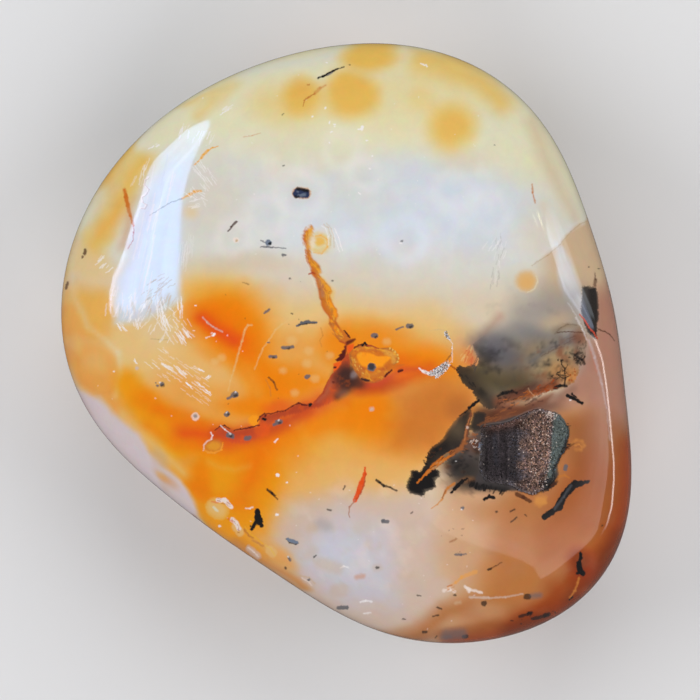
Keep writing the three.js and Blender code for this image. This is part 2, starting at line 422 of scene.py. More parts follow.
def make_piece(name, vertices, polygons, material, slot=None, smooth_faces=True):
    """A mesh object at the origin from points in millimetres."""
    mesh = bpy.data.meshes.new(name)
    mesh.from_pydata((vertices * MM).tolist(), [], polygons)
    mesh.materials.append(material)
    mesh.polygons.foreach_set("use_smooth", np.full(len(mesh.polygons), smooth_faces))
    mesh.update()
    piece = bpy.data.objects.new(name, mesh)
    bpy.context.collection.objects.link(piece)
    if slot:
        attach(piece, "root")
    return piece


def store(mesh, name, kind, domain, values, part):
    """Put a numpy array into a mesh attribute."""
    layer = mesh.attributes.new(name, kind, domain)
    layer.data.foreach_set(part, np.ascontiguousarray(values, dtype=np.float32).ravel())


stone_material = bpy.data.materials.new("polished chalcedony")
stone = make_piece("polished_pebble", points + SHIFT, faces, stone_material, "chalcedony")
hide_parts("palm_stone")

# %% [markdown]
# ## Tints
# A small palette names every colour of the stone. The tints were settled by setting renders beside the
# photo. Colours on a screen are stored on a curve, and light adds up on a straight line, so each tint is
# straightened before the shader reads it.

# %% Tints
TINTS = {
    "cream": (0.86, 0.83, 0.715), "ivory": (0.885, 0.865, 0.73), "milk": (0.83, 0.83, 0.82),
    "lavender": (0.80, 0.835, 0.89), "lip": (0.82, 0.76, 0.77), "pearl": (0.78, 0.76, 0.80),
    "blush": (0.81, 0.71, 0.65), "peach": (0.89, 0.74, 0.49), "sand_light": (0.845, 0.78, 0.68),
    "sand": (0.79, 0.67, 0.53), "tan": (0.80, 0.62, 0.47), "caramel": (0.71, 0.45, 0.26),
    "honey": (0.90, 0.725, 0.345), "apricot": (0.90, 0.62, 0.29), "ochre": (0.87, 0.54, 0.24),
    "saffron": (0.925, 0.595, 0.07), "orange": (0.93, 0.50, 0.01), "vermilion": (0.92, 0.43, 0.01),
    "ember": (0.88, 0.30, 0.09), "wine": (0.70, 0.25, 0.11), "tawny": (0.79, 0.45, 0.17),
    "amber": (0.80, 0.52, 0.26), "clay": (0.68, 0.48, 0.40), "rust": (0.60, 0.24, 0.07),
    "umber": (0.31, 0.17, 0.11), "smoke": (0.59, 0.56, 0.54), "slate": (0.38, 0.38, 0.40),
    "night": (0.17, 0.15, 0.14), "olive": (0.33, 0.28, 0.20), "frost": (0.95, 0.93, 0.93),
    "moss": (0.33, 0.37, 0.36), "bronze": (0.80, 0.43, 0.13), "gold": (0.93, 0.66, 0.18),
    "brick": (0.66, 0.25, 0.14), "garnet": (0.34, 0.11, 0.09), "flame": (0.92, 0.36, 0.10),
    "crimson": (0.80, 0.29, 0.19), "cocoa": (0.27, 0.16, 0.14), "tangerine": (0.97, 0.60, 0.11),
    "ink": (0.10, 0.09, 0.09), "coffee": (0.54, 0.43, 0.36), "plum": (0.25, 0.22, 0.24),
    "rose_white": (0.93, 0.86, 0.82), "navy": (0.17, 0.21, 0.33), "steel": (0.45, 0.49, 0.56),
    "sienna": (0.76, 0.46, 0.20), "russet": (0.60, 0.35, 0.19), "mahogany": (0.38, 0.15, 0.06),
    "storm": (0.36, 0.35, 0.38), "graphite": (0.26, 0.24, 0.24),
    "khaki": (0.68, 0.57, 0.42), "reed": (0.52, 0.44, 0.33), "brown": (0.43, 0.29, 0.24),
    "heather": (0.43, 0.395, 0.41), "lichen": (0.43, 0.465, 0.45), "toffee": (0.49, 0.27, 0.18),
    "halo": (0.85, 0.885, 0.95),
}
TINTS = {name: np.array(colour) for name, colour in TINTS.items()}


def straightened(colour):
    """Screen values to light values, by the usual sRGB curve."""
    return np.where(colour <= 0.04045, colour / 12.92, ((np.maximum(colour, 0) + 0.055) / 1.055) ** 2.4)


def lay(colours, tint, mask, strength=1.0):
    """Glaze a tint over the colours, where the mask is and as strongly as asked."""
    return colours + (TINTS[tint] - colours) * (strength * mask)[:, None]


# %% [markdown]
# ## Clouds
# The clouds are soft, broad and layered like glazes, so they are painted glaze by glaze on the skin's own
# points. Each region gets a table of spots, lines and patches in picture pixels, laid in order.

# %% Clouds
def below(at, line, soft):
    """0 above a line drawn from left to right, and 1 below it."""
    line = np.asarray(line, float)
    level = np.interp(at[:, 0], line[:, 0], line[:, 1])
    return smooth(-soft, soft, at[:, 1] - level)


def glazed(c, at, rows, within=1.0):
    """A table of glazes, laid in order. A row is a tint, a strength and a form: the numbers of a spot, the
    corners and soft edge of a patch, or the points, width and soft edge of a line."""
    for tint, strength, form, *edge in rows:
        if isinstance(form, tuple):
            mask = blob(at, *form)
        else:
            mask = (patch if len(edge) == 1 else band)(at, form, *edge)
        c = lay(c, tint, within * mask, strength)
    return c


def wisps(c, place, tint, mask, size, seed, strength):
    """Ragged veils of a tint, where the mist is thick."""
    return lay(c, tint, mask * smooth(0.05, 0.55, mist(place, size, seed, 4)), strength)


def paint_pale_top(c, at, place):
    """Cream over milk and lavender in the upper half, with honey discs along the top edge."""
    c = lay(c, "milk", below(at, [(60, 150), (200, 150), (300, 158), (420, 156), (520, 178), (600, 205)],
                             28), 0.92)
    c = glazed(c, at, [
        ("sand_light", 0.4, (214, 204, 30, 34)), ("cream", 0.5, (292, 146, 34, 22)),
        ("cream", 0.45, [(270, 176), (310, 172), (345, 158)], 10, 14),
        ("lavender", 0.8, (458, 208, 70, 36, -10, 0.7)), ("lavender", 0.6, (386, 236, 66, 26)),
        ("lavender", 0.35, (398, 168, 34, 16)), ("lavender", 0.35, (304, 210, 44, 26, 20, 0.9)),
        ("sand_light", 0.3, (370, 262, 90, 14)), ("sand_light", 0.45, (466, 160, 26, 10)),
        ("milk", 0.5, [(384, 240), (392, 224), (408, 222), (422, 234), (420, 254), (404, 260)], 2, 4),
        ("milk", 0.6, [(299, 172), (328, 185), (334, 200), (326, 214)], 8, 9),
        ("smoke", 0.07, (403, 241, 12, 11)),
    ])
    for x, y, radius, tint, strength in [
        (404, 241, 19, "halo", 0.75), (322, 243, 28, "halo", 0.5), (301, 193, 20, "frost", 0.42),
        (268, 216, 15, "frost", 0.3), (366, 174, 14, "frost", 0.3), (455, 194, 17, "frost", 0.3),
        (236, 238, 14, "frost", 0.3), (345, 150, 15, "frost", 0.28), (492, 214, 16, "frost", 0.25),
    ]:
        c = lay(c, tint, halo(at, x, y, radius), strength)
    c = wisps(c, place, "milk", 1 - below(at, [(0, 140), (700, 140)], 40), 5.0, 71, 0.25)
    c = glazed(c, at, [
        ("honey", 0.25, (405, 92, 60, 34, 0, 0.9)), ("honey", 0.35, (295, 104, 34, 20)),
        ("honey", 0.6, [(200, 112), (218, 98), (236, 86)], 6, 10), ("honey", 0.2, (272, 106, 22, 15)),
        ("honey", 0.95, (303, 97, 18, 17, 20, 0.6)), ("apricot", 0.3, (300, 90, 10, 9)),
        ("honey", 1, (352, 96, 26, 24, 0, 0.45)), ("apricot", 0.15, (352, 90, 14, 10)),
        ("honey", 1, (369, 57, 26, 15, 0, 0.5)),
        ("honey", 0.8, [(422, 64), (450, 70), (482, 82), (502, 100)], 20, 15),
        ("honey", 0.25, (422, 98, 14, 12, 0, 0.6)), ("honey", 0.9, (453, 126, 23, 23, 0, 0.6)),
        ("apricot", 0.2, (452, 125, 12, 11)), ("milk", 0.6, [(240, 80), (290, 66), (330, 58)], 8, 9),
        ("tan", 0.6, [(124, 196), (130, 220), (125, 246)], 5, 7),
    ])
    return wisps(c, place, "frost", below(at, [(0, 150), (700, 150)], 30) - below(at, [(0, 270), (700, 280)],
                                                                                  30), 3.4,
                 72, 0.22)


def paint_left_edge(c, at, place):
    """Honey along the upper left rim, ochre and apricot further down, and pale lavender as painted reflection
    where the tall window shines.
    """
    c = glazed(c, at, [
        ("honey", 0.95, [(146, 158), (124, 192), (106, 226), (98, 250)], 22, 14),
        ("apricot", 0.4, [(118, 202), (106, 232)], 14, 10),
        ("ivory", 0.7, [(112, 172), (86, 222), (72, 262)], 6, 9), ("peach", 0.7, (90, 272, 30, 16, 0, 0.7)),
        ("apricot", 0.9, [(40, 300), (84, 296), (108, 292), (116, 318), (108, 346), (40, 360)], 12),
        ("honey", 0.5, (99, 314, 15, 22, 0, 0.6)), ("ochre", 1, [(58, 296), (62, 330), (72, 366)], 16, 9),
        ("orange", 0.4, (66, 306, 8, 14, 0, 0.7)), ("peach", 0.8, (116, 352, 18, 12, 20, 0.7)),
        ("apricot", 0.95, (97, 371, 24, 23, 0, 0.35)),
        ("ochre", 0.4, [(80, 358), (86, 384), (102, 395), (116, 388)], 2, 6),
        ("peach", 0.45, (100, 364, 12, 11)),
        ("cream", 0.55, [(79, 246), (82, 276), (84, 306), (94, 332), (110, 342), (121, 354)], 2, 5),
        ("cream", 0.6, [(121, 354), (123, 374), (117, 396)], 3, 5),
    ])
    # Painted reflection: the outline of the tall window's mirrored image, painted pale lavender and trimmed
    # by the lip and tan lines below.
    shine = [(206, 124), (186, 144), (164, 166), (154, 190), (146, 215), (138, 240), (130, 262), (121, 282),
             (116, 302),
             (118, 324), (142, 322), (166, 312), (181, 300), (182, 240), (185, 196), (196, 152)]
    c = lay(c, "lavender", patch(at, shine, 6) * below(at, [(0, 190), (700, 190)], 60), 0.9)
    c = glazed(c, at, [
        ("lip", 0.45, [(152, 200), (140, 240), (126, 290)], 10, 8),
        ("tan", 0.55, [(134, 196), (131, 216), (129, 244)], 3, 6), ("sand_light", 0.4, (160, 330, 16, 16)),
    ])
    return wisps(c, place, "honey", blob(at, 100, 320, 34, 110, 0, 0.5), 2.6, 73, 0.2)


def paint_warm_middle(c, at, place):
    """Sand, peach and apricot deepen downwards to orange, with the hot spot on the left."""
    c = lay(c, "sand_light", below(at, [(60, 274), (170, 262), (330, 270), (450, 286), (560, 284),
                                        (640, 290)], 26))
    warm = patch(at, [(96, 280), (300, 262), (440, 288), (482, 340), (482, 420), (430, 470), (390, 500),
                      (286, 516),
                      (256, 600), (150, 500), (96, 420)], 20)
    c = lay(c, "peach", warm * below(at, [(90, 300), (180, 272), (225, 276), (262, 300), (330, 300),
                                          (430, 308), (480, 326)],
                                      18))
    c = lay(c, "apricot", warm * below(at, [(110, 372), (190, 350), (260, 334), (330, 328), (400, 326),
                                            (450, 344)], 16),
            0.95)
    return glazed(c, at, [
        ("honey", 0.6, (218, 298, 36, 28, 0, 0.7)), ("peach", 0.85, (150, 350, 40, 34, 0, 0.6)),
        ("apricot", 0.4, (200, 392, 40, 18, -20, 0.7)), ("peach", 0.6, (206, 372, 32, 12, -14, 0.7)),
        ("orange", 1, (230, 322, 40, 32, -30, 0.6)),
        ("apricot", 0.25, [(243, 276), (284, 286), (286, 322), (254, 322), (241, 300)], 9),
        ("orange", 0.95, [(248, 330), (256, 358), (278, 384)], 22, 14),
        ("vermilion", 0.9, [(200, 314), (222, 328), (244, 348)], 26, 12),
        ("ember", 0.95, [(204, 318), (220, 331), (238, 342)], 11, 8), ("sand", 0.3, (250, 262, 50, 9)),
        ("ochre", 0.5, (192, 337, 12, 8)), ("apricot", 0.35, (189, 311, 10, 8)),
    ])


def paint_embers(c, at, place):
    """Saffron and orange either side of the lower crack, and red where the crack is deepest."""
    c = glazed(c, at, [
        ("saffron", 1, [(130, 384), (150, 414), (176, 436), (200, 452)], 26, 10),
        ("saffron", 1, [(150, 440), (260, 440), (290, 470), (262, 530), (216, 540), (180, 480)], 12),
        ("orange", 0.85, [(146, 398), (178, 420), (206, 440)], 20, 10),
        ("orange", 0.8, (198, 476, 12, 18, 10, 0.7)),
        ("orange", 0.6, [(236, 360), (252, 384), (256, 410)], 14, 10),
        ("orange", 0.8, [(206, 440), (250, 452), (300, 430), (345, 412), (380, 408)], 36, 16),
        ("vermilion", 0.95, [(264, 446), (254, 474), (246, 500)], 14, 22),
        ("orange", 0.8, [(200, 494), (236, 506)], 8, 8),
        ("orange", 0.8, [(258, 370), (300, 366), (330, 380), (300, 400), (262, 408)], 12),
        ("orange", 0.8, (250, 408, 26, 10, 0, 0.7)),
        ("ember", 0.9, [(186, 434), (232, 440), (285, 424), (322, 400)], 14, 12),
        ("wine", 0.8, [(216, 436), (252, 436), (276, 428), (306, 410)], 8, 9),
        ("orange", 0.65, (366, 342, 38, 22, 0, 0.7)), ("orange", 0.5, (338, 346, 16, 20, 0, 0.7)),
        ("orange", 0.9, (420, 364, 44, 16, -5, 0.7)),
        ("ember", 0.85, [(350, 380), (374, 388), (404, 380), (430, 370)], 10, 10),
        ("wine", 0.75, (374, 386, 26, 8, 8, 0.7)),
        ("orange", 0.75, [(330, 396), (380, 396), (420, 420), (400, 448), (350, 440)], 14),
        ("tawny", 0.9, [(398, 392), (440, 374), (476, 384), (480, 410), (440, 450), (392, 448)], 22),
        ("russet", 0.35, (461, 408, 12, 12)), ("orange", 0.95, (196, 484, 16, 9, -40, 0.7)),
        ("vermilion", 0.55, [(158, 410), (186, 414), (204, 426)], 8, 8),
        ("orange", 0.6, [(150, 428), (170, 440), (192, 446)], 9, 8),
        ("ember", 0.6, (280, 408, 16, 8, 10, 0.7)), ("apricot", 0.5, (188, 461, 10, 6, 20)),
        ("honey", 0.35, (330, 448, 36, 12, 10)), ("peach", 0.35, [(208, 462), (234, 470), (250, 466)], 3, 6),
        ("orange", 0.35, (286, 456, 26, 32, 0, 0.9)), ("ember", 0.35, (402, 361, 18, 8, -5)),
    ])
    return wisps(c, place, "honey", blob(at, 300, 430, 110, 70, 0, 0.6), 2.2, 74, 0.18)


def paint_lower_left(c, at, place):
    """The lavender lip along the rim, crisp against the orange, and the shelly rim further down."""
    c = lay(c, "peach", band(at, [(124, 418), (148, 442), (172, 460), (184, 472)], 9, 10), 0.85)
    lip = [(40, 386), (78, 392), (102, 398), (120, 418), (141, 436), (149, 452), (165, 467), (178, 480),
           (194, 502),
           (206, 521), (190, 545), (100, 480)]
    return glazed(c, at, [
        ("lip", 1, lip, 4), ("amber", 0.4, (163, 479, 13, 5, -42, 0.7)),
        ("apricot", 0.5, (160, 477, 7, 3, -40, 0.7)), ("sand", 0.6, (160, 459, 9, 7, -40)),
        ("saffron", 0.85, [(206, 512), (232, 532), (262, 556)], 16, 8),
        ("amber", 0.85, [(240, 545), (275, 568), (305, 592)], 12, 7),
        ("apricot", 0.8, (280, 556, 16, 9, -40, 0.7)),
        ("clay", 0.6, [(190, 520), (240, 560), (290, 598), (340, 624)], 6, 4),
    ])


def paint_pearl(c, at, place):
    """The milky lavender pool at the bottom, fading through blush into the sand on its right."""
    c = glazed(c, at, [
        ("peach", 0.5, [(286, 470), (340, 462), (410, 462), (440, 492), (400, 520), (290, 510)], 16),
        ("blush", 0.95, [(290, 502), (340, 490), (430, 494), (452, 520), (450, 600), (430, 650), (330, 650),
         (272, 550)], 16), ("pearl", 0.6, (318, 562, 18, 16)), ("pearl", 0.5, (340, 588, 18, 12)),
        ("pearl", 0.9, [(310, 530), (340, 512), (390, 524), (396, 570), (400, 606), (350, 606), (306, 566)],
         18), ("lavender", 0.35, (338, 556, 30, 20, -20)),
    ])
    c = wisps(c, place, "sand", blob(at, 350, 570, 70, 50, 0, 0.5), 1.6, 75, 0.3)
    return wisps(c, place, "rose_white", blob(at, 370, 540, 90, 60, 0, 0.5), 2.0, 76, 0.3)


def paint_right_side(c, at, place):
    """Sand and clay down the right flank, pale lavender as painted reflection under the right window's image,
    caramel under the pocket, and rust along the lower rim.
    """
    c = glazed(c, at, [
        ("cream", 0.6, [(530, 90), (548, 180), (560, 222), (640, 222), (660, 60)], 16),
        ("sand", 0.45, [(530, 120), (556, 178), (576, 218)], 8, 9), ("sand_light", 0.45, (538, 236, 20, 24)),
    ])
    front = [(520, 272), (533, 266), (549, 255.5), (561, 245), (572, 232), (581, 224), (590, 221), (660, 200),
             (660, 330), (520, 330)]
    c = lay(c, "sand", patch(at, front, 2) * smooth(524, 564, at[:, 0]), 0.92)
    c = glazed(c, at, [
        ("sand_light", 0.6, [(546, 206), (551, 222), (557, 238)], 7, 6),
        ("clay", 0.95, [(592, 292), (640, 280), (660, 290), (660, 460), (570, 440), (566, 380), (590, 330)],
         14),
    ])
    # Painted reflection: pale lavender under the right window's mirrored image.
    window = [(556, 244), (564, 250), (572, 264), (583, 290), (593, 322), (594, 336), (586, 328), (572, 306),
              (562, 286)]
    c = glazed(c, at, [
        ("lavender", 0.55, window, 3),
        ("tan", 0.95, [(446, 470), (500, 400), (580, 400), (640, 470), (640, 640), (452, 640)], 18),
        ("caramel", 0.95, [(500, 500), (560, 410), (600, 420), (640, 470), (640, 640), (470, 640),
         (480, 590)], 20), ("tan", 0.5, (462, 548, 26, 50, 0, 0.6)),
        ("sienna", 0.35, (508, 578, 32, 26, 10, 0.35)),
        ("russet", 0.8, [(566, 420), (600, 410), (640, 430), (640, 560), (560, 520), (572, 470)], 14),
        ("clay", 0.4, (600, 430, 16, 40, 0, 0.7)),
    ])
    rim = [(640, 430), (622, 440), (616, 500), (604, 532), (566, 578), (546, 600), (490, 626), (440, 634),
           (440, 680),
           (680, 680)]
    c = glazed(c, at, [
        ("rust", 0.9, rim, 12),
        ("mahogany", 0.6, [(640, 520), (618, 530), (590, 566), (556, 604), (500, 630), (520, 680),
         (680, 680)], 9), ("caramel", 0.5, (560, 588, 22, 9, 40, 0.7)),
        ("caramel", 0.95, [(376, 650), (420, 636), (446, 614), (470, 606)], 20, 12),
        ("russet", 0.6, [(400, 646), (430, 640), (466, 634), (500, 626)], 8, 8),
        ("brick", 0.95, (584, 562, 12, 16, 20, 0.7)), ("mahogany", 0.65, (582, 561, 9, 12, 20)),
        ("caramel", 0.45, (490, 512, 16, 10)), ("tan", 0.45, (492, 612, 18, 8, -10)),
        ("sienna", 0.45, (584, 520, 22, 34, 0, 0.7)),
        ("rust", 0.28, [(545, 505), (596, 440), (614, 470), (604, 524), (572, 562), (540, 560)], 14),
        ("rust", 0.4, (553, 590, 12, 12, 30, 0.7)), ("rust", 0.6, (552, 609, 13, 7, 30)),
        ("rust", 0.5, (581, 584, 9, 11, 30)), ("rust", 0.6, [(536, 612), (556, 596), (574, 578)], 8, 8),
    ])
    return wisps(c, place, "clay", blob(at, 540, 560, 90, 80, 0, 0.5), 2.4, 77, 0.25)


def paint_smoke(c, at, place):
    """Grey smoke round the black inclusions, the flame at its left, and the dark ground of the pocket, which
    is partly a dark sheet and partly painted shade of the pocket's shadowed left side.
    """
    haze = [(476, 345), (498, 328), (520, 306), (548, 284), (582, 288), (590, 330), (580, 366), (540, 380),
            (486, 376)]
    c = glazed(c, at, [
        ("smoke", 0.75, haze, 16), ("smoke", 0.3, (530, 306, 16, 26, 20)),
        ("sand", 0.55, (556, 321, 14, 8, 20)), ("tan", 0.6, (468, 348, 14, 18, 20)),
        ("ochre", 0.6, (469, 357, 10, 11, 20)), ("crimson", 0.35, (473, 360, 5, 5)),
        ("clay", 0.5, [(477, 343), (488, 329), (503, 316)], 5, 6),
        ("storm", 0.6, (497, 343, 20, 14, -15, 0.7)), ("slate", 0.5, (540, 338, 30, 11, -12)),
        ("toffee", 0.85, [(478, 424), (500, 404), (524, 402), (552, 392), (546, 404), (524, 412), (504, 424),
         (484, 432)], 4), ("umber", 0.8, (490, 412, 13, 8, 0, 0.7)),
        ("brown", 0.75, [(524, 412), (548, 406), (562, 399)], 7, 5), ("clay", 0.6, (566, 399, 16, 9, 15)),
        ("brown", 0.5, [(530, 404), (546, 398), (560, 393), (572, 388)], 7, 6),
        ("brown", 0.5, (548, 408, 16, 6)), ("umber", 0.5, (520, 410, 16, 6)),
        # Partly a dark sheet left of the pocket, partly painted shade where the pocket's left side lies in
        # shadow.
        ("graphite", 0.9, [(450, 458), (464, 446), (480, 428), (520, 416), (520, 490), (478, 488),
         (454, 478)], 5), ("night", 0.7, (465, 469, 18, 11)), ("night", 0.8, (478, 485, 22, 7)),
        ("brown", 0.7, (474, 442, 7, 9, 10)), ("caramel", 0.5, (470, 481, 8, 3, 15)),
    ])
    c = wisps(c, place, "umber", blob(at, 466, 460, 26, 28, 0, 0.5), 0.7, 99, 0.6)
    c = wisps(c, place, "ink", blob(at, 470, 466, 26, 26, 0, 0.5), 0.45, 90, 0.7)
    return wisps(c, place, "slate", blob(at, 530, 330, 60, 40, 0, 0.5), 1.6, 78, 0.3)


def paint_clouds(at, place):
    """All glazes in order, on pixels that two sizes of mist push about."""
    at = drifted(at, place, 5, 4.5, 3)
    at = drifted(at, place, 1.6, 1.3, 9)
    c = np.tile(TINTS["ivory"], (len(at), 1))
    for glaze in (paint_pale_top, paint_warm_middle, paint_left_edge, paint_embers, paint_pearl,
                  paint_right_side,
                  paint_lower_left, paint_smoke):
        c = glaze(c, at, place)
    return np.clip(c, 0, 1)


# %% [markdown]
# ## The healed cracks
# A crack let iron in and healed. It shows as a golden rope that comes down from the top, an eye of bent
# bands where it meets the crown's middle, and a rust-red branch that runs off to the left. The points are
# close enough here to paint the bands themselves, and the finest lines come later, with the marks.

# %% Cracks
ROPE = [
    (313, 226), (308.7, 229.2), (305.3, 233.4), (303.8, 238), (306.4, 243.3), (307.4, 247.9), (308, 254.8),
    (309.1, 261.7), (312.2, 267.8), (313.3, 273.9), (316.4, 278.5), (318.3, 284.6), (320.2, 291.5),
    (321.4, 299.2),
    (322.9, 306), (326, 312.2), (329.8, 316.8), (330.6, 323.7), (335.7, 331.6), (337.3, 337.4),
    (341.5, 341.2),
    (347.5, 344), (352, 341), (348.2, 335), (342.8, 330.5), (339.7, 326), (336.7, 321), (339, 316),
    (337.8, 310.6),
    (333.6, 303.8), (330.6, 296.1), (332.9, 291.5), (331.3, 287.7), (326, 282.3), (321.4, 277.7),
    (319.5, 273.5),
    (322.1, 271.6), (321.4, 267), (317.5, 262.4), (313.7, 259.4), (312.2, 254.8), (311.4, 248.7),
    (310.3, 240.3),
    (313, 237.2), (313.7, 232.6), (314.5, 228),
]
ROPE_LEFT = ROPE[:22]
WEDGE = [
    (348.9, 352), (352, 361), (350, 372), (352, 384), (345, 395), (338, 399.5), (330, 404), (322, 407.5),
    (311.6, 409), (300, 413), (284, 417), (271, 424), (262, 436), (248, 444), (232, 443), (220, 436),
    (217, 430),
    (222, 426.5), (230.8, 429), (236, 431), (251, 428), (260, 425.5), (258.4, 421), (261.4, 417),
    (265.5, 414),
    (271.6, 414.4), (278.8, 412.3), (286.9, 410.8), (294, 406.2), (300, 403.5), (306, 405.5), (314, 404.2),
    (322.7, 395), (328.2, 383), (333.6, 374.8), (339, 366), (344.8, 358),
]
EYE_OUTLINE = [
    (349.8, 353), (355.6, 348.2), (361, 345.2), (372.1, 345.7), (379.6, 349), (386, 348.5), (392, 348.5),
    (397, 352), (400, 357), (399, 363), (392, 368), (389, 374), (383.5, 380.5), (375, 383.5), (367, 382),
    (361, 377.5),
    (355, 369), (351.5, 361),
]


def paint_rope(c, at):
    """A bronze ribbon with gold where it is thin, on the right, and rosy for a stretch."""
    c = glazed(c, at, [
        ("honey", 0.6, [(322, 279), (333, 292), (332, 300)], 5, 3), ("tawny", 1, ROPE, 1.6),
        ("bronze", 0.7, ROPE, 0.9), ("bronze", 0.7, [(308.5, 230), (305.5, 236), (307.5, 245)], 2, 1.5),
        ("bronze", 0.6, [(337, 328), (341, 334), (344, 339)], 4, 2),
    ])
    inside = patch(at, ROPE, 1.2)
    return glazed(c, at, [
        ("gold", 0.85, [(313, 229), (310.5, 237)], 6, 2),
        ("gold", 0.7, [(313, 262), (319, 268), (320, 272)], 5, 2),
        ("gold", 0.8, [(323, 280), (331, 290), (328, 297)], 5, 2),
        ("tangerine", 0.8, [(330, 303), (336, 313), (334, 320)], 6, 2),
        ("clay", 0.6, [(319, 279), (322.5, 286), (324, 296)], 4, 2),
        ("tangerine", 0.7, [(336, 328), (342, 337)], 4, 2), ("brick", 0.55, ROPE_LEFT, 1.5, 1.4),
        ("brick", 0.5, [(332, 318), (337, 322), (340, 328)], 2, 1.5),
    ], inside)


def paint_ring_eye(c, at):
    """The small honey ring beside the rope's head: gold in a cream gap, inside a honey rim."""
    return glazed(c, at, [
        ("cream", 0.5, (322, 243, 14, 14, 0, 0.3)), ("honey", 0.6, (321, 243.5, 10.5, 10.5, 0, 0.2)),
        ("cream", 0.6, (321, 243, 7.5, 7.5, 0, 0.3)), ("gold", 0.6, (321, 242, 5, 4.4, 0, 0.3)),
        ("rose_white", 0.6, (314, 243, 2.5, 6, 0, 0.5)),
    ])


def paint_wedge(c, at):
    """The lower branch: rust-red glass under a crisp upper edge, fading into the orange below."""
    inside = 1 - smooth(-0.8, 0.8, patch_gap(at, WEDGE))
    c = lay(c, "crimson", band(at, [(345, 400), (300, 416), (262, 436), (228, 446)], 10, 10), 0.35)
    c = lay(c, "crimson", inside, 0.55)
    c = glazed(c, at, [
        ("brick", 0.8, [(348, 360), (334, 384), (318, 402), (290, 410), (262, 416)], 16, 6),
        ("brick", 0.5, [(258, 430), (235, 433), (222, 430)], 8, 5),
        ("clay", 0.35, [(333, 382), (327, 394), (320, 401)], 4, 4),
    ], inside)
    # The small pearl spot in the dark smoke is a painted glint.
    return glazed(c, at, [
        ("cocoa", 1, (348, 378, 12, 13, -30, 0.6)), ("cocoa", 0.7, (358, 383, 10, 5, -15, 0.7)),
        ("cocoa", 0.7, [(350, 384), (345, 391), (338, 397)], 6, 4),
        ("coffee", 0.4, (344, 394, 6, 4, 20, 0.7)), ("pearl", 0.4, (355, 375, 3.5, 4.5, -30, 0.6)),
        ("tangerine", 0.95, (255, 421, 5.5, 5.5, 0, 0.25)), ("flame", 0.55, (263.5, 430.5, 8, 7, 0, 0.25)),
        ("sienna", 0.7, (215, 446, 9.5, 6.5, 5, 0.25)), ("gold", 0.6, (215, 446.4, 7, 4.4, 5, 0.3)),
    ])


def paint_eye(c, at):
    """Bent bands round a dark speck: a bronze rim with gold in it, and a bright tangerine field."""
    gap = patch_gap(at, EYE_OUTLINE)
    inside = 1 - smooth(-0.7, 0.7, gap)
    c = lay(c, "tangerine", inside)
    c = lay(c, "bronze", inside * smooth(-8.5, -6, gap), 0.9)
    c = lay(c, "russet", inside * smooth(-3.2, -0.4, gap), 0.75)
    c = glazed(c, at, [
        ("russet", 0.5, [(352, 358), (355, 366), (361, 374)], 5, 3),
        ("bronze", 0.6, [(351, 352), (362, 349), (373, 350), (382, 352), (395, 354)], 5, 1.6),
        ("gold", 0.7, [(355, 350), (366, 347.5), (374, 348.5), (386, 351)], 2, 1.0),
        ("gold", 0.6, [(353, 358), (357, 367), (364, 376), (374, 380)], 1.6, 1.0),
        ("tawny", 0.8, [(356, 366), (366, 374), (378, 375), (392, 368)], 7, 2),
        ("brick", 0.5, [(362, 368), (372, 371), (391, 367.5)], 3, 2),
        ("honey", 0.6, [(388, 352), (395, 356), (395, 362)], 5, 2),
    ], inside)
    return glazed(c, at, [
        ("bronze", 0.8, [(391, 368), (398, 366.5), (405, 365)], [5, 4, 1], 1.2),
        ("crimson", 0.6, [(368, 386), (381, 384), (391, 377), (403, 370), (421, 369)], [4, 6, 6, 7, 3], 4),
    ])


def paint_junction(c, at):
    """Broken red facets where the rope, the eye and the branch meet."""
    c = glazed(c, at, [
        ("flame", 1, [(348, 346), (355, 344), (354, 350), (349, 354)], 1.0),
        ("flame", 1, [(334.5, 364), (344.5, 360.5), (340, 368), (335, 372)], 1.0),
    ])
    teeth = [(347.5, 344), (345, 347), (345.5, 349), (342.6, 351.5), (343, 353.5), (340, 355.5),
             (340.5, 357.5),
             (337, 359.5), (338.5, 361.8), (343, 361), (345.5, 358.5), (347.8, 350)]
    return glazed(c, at, [
        ("garnet", 1, teeth, 0.7),
        ("garnet", 0.85, [(348.5, 343.5), (353, 341.5), (356.5, 339.5)], [4, 3.5, 1.5], 0.9),
        ("brick", 0.6, [(341.5, 341.2), (347, 344.5), (347.5, 352)], 1.6, 0.8),
    ])


def paint_cracks(c, seen, place):
    """All cracks in order, with edges that wander by less than a pixel."""
    at = drifted(seen, place, 0.9, 0.4, 31)
    for glaze in (paint_wedge, paint_rope, paint_ring_eye, paint_eye, paint_junction):
        c = glaze(c, at)
    folds = patch(at, EYE_OUTLINE, 1.5) * (1 - blob(at, 377, 360.5, 18, 7, 0, 0.3))
    c = wisps(c, place, "gold", folds, 0.3, 83, 0.55)
    c = wisps(c, place, "brick", folds, 0.25, 84, 0.35)
    c = wisps(c, place, "russet", patch(at, ROPE, 1.2), 0.3, 85, 0.6)
    return wisps(c, place, "flame", patch(at, WEDGE, 1.2), 0.45, 86, 0.35)
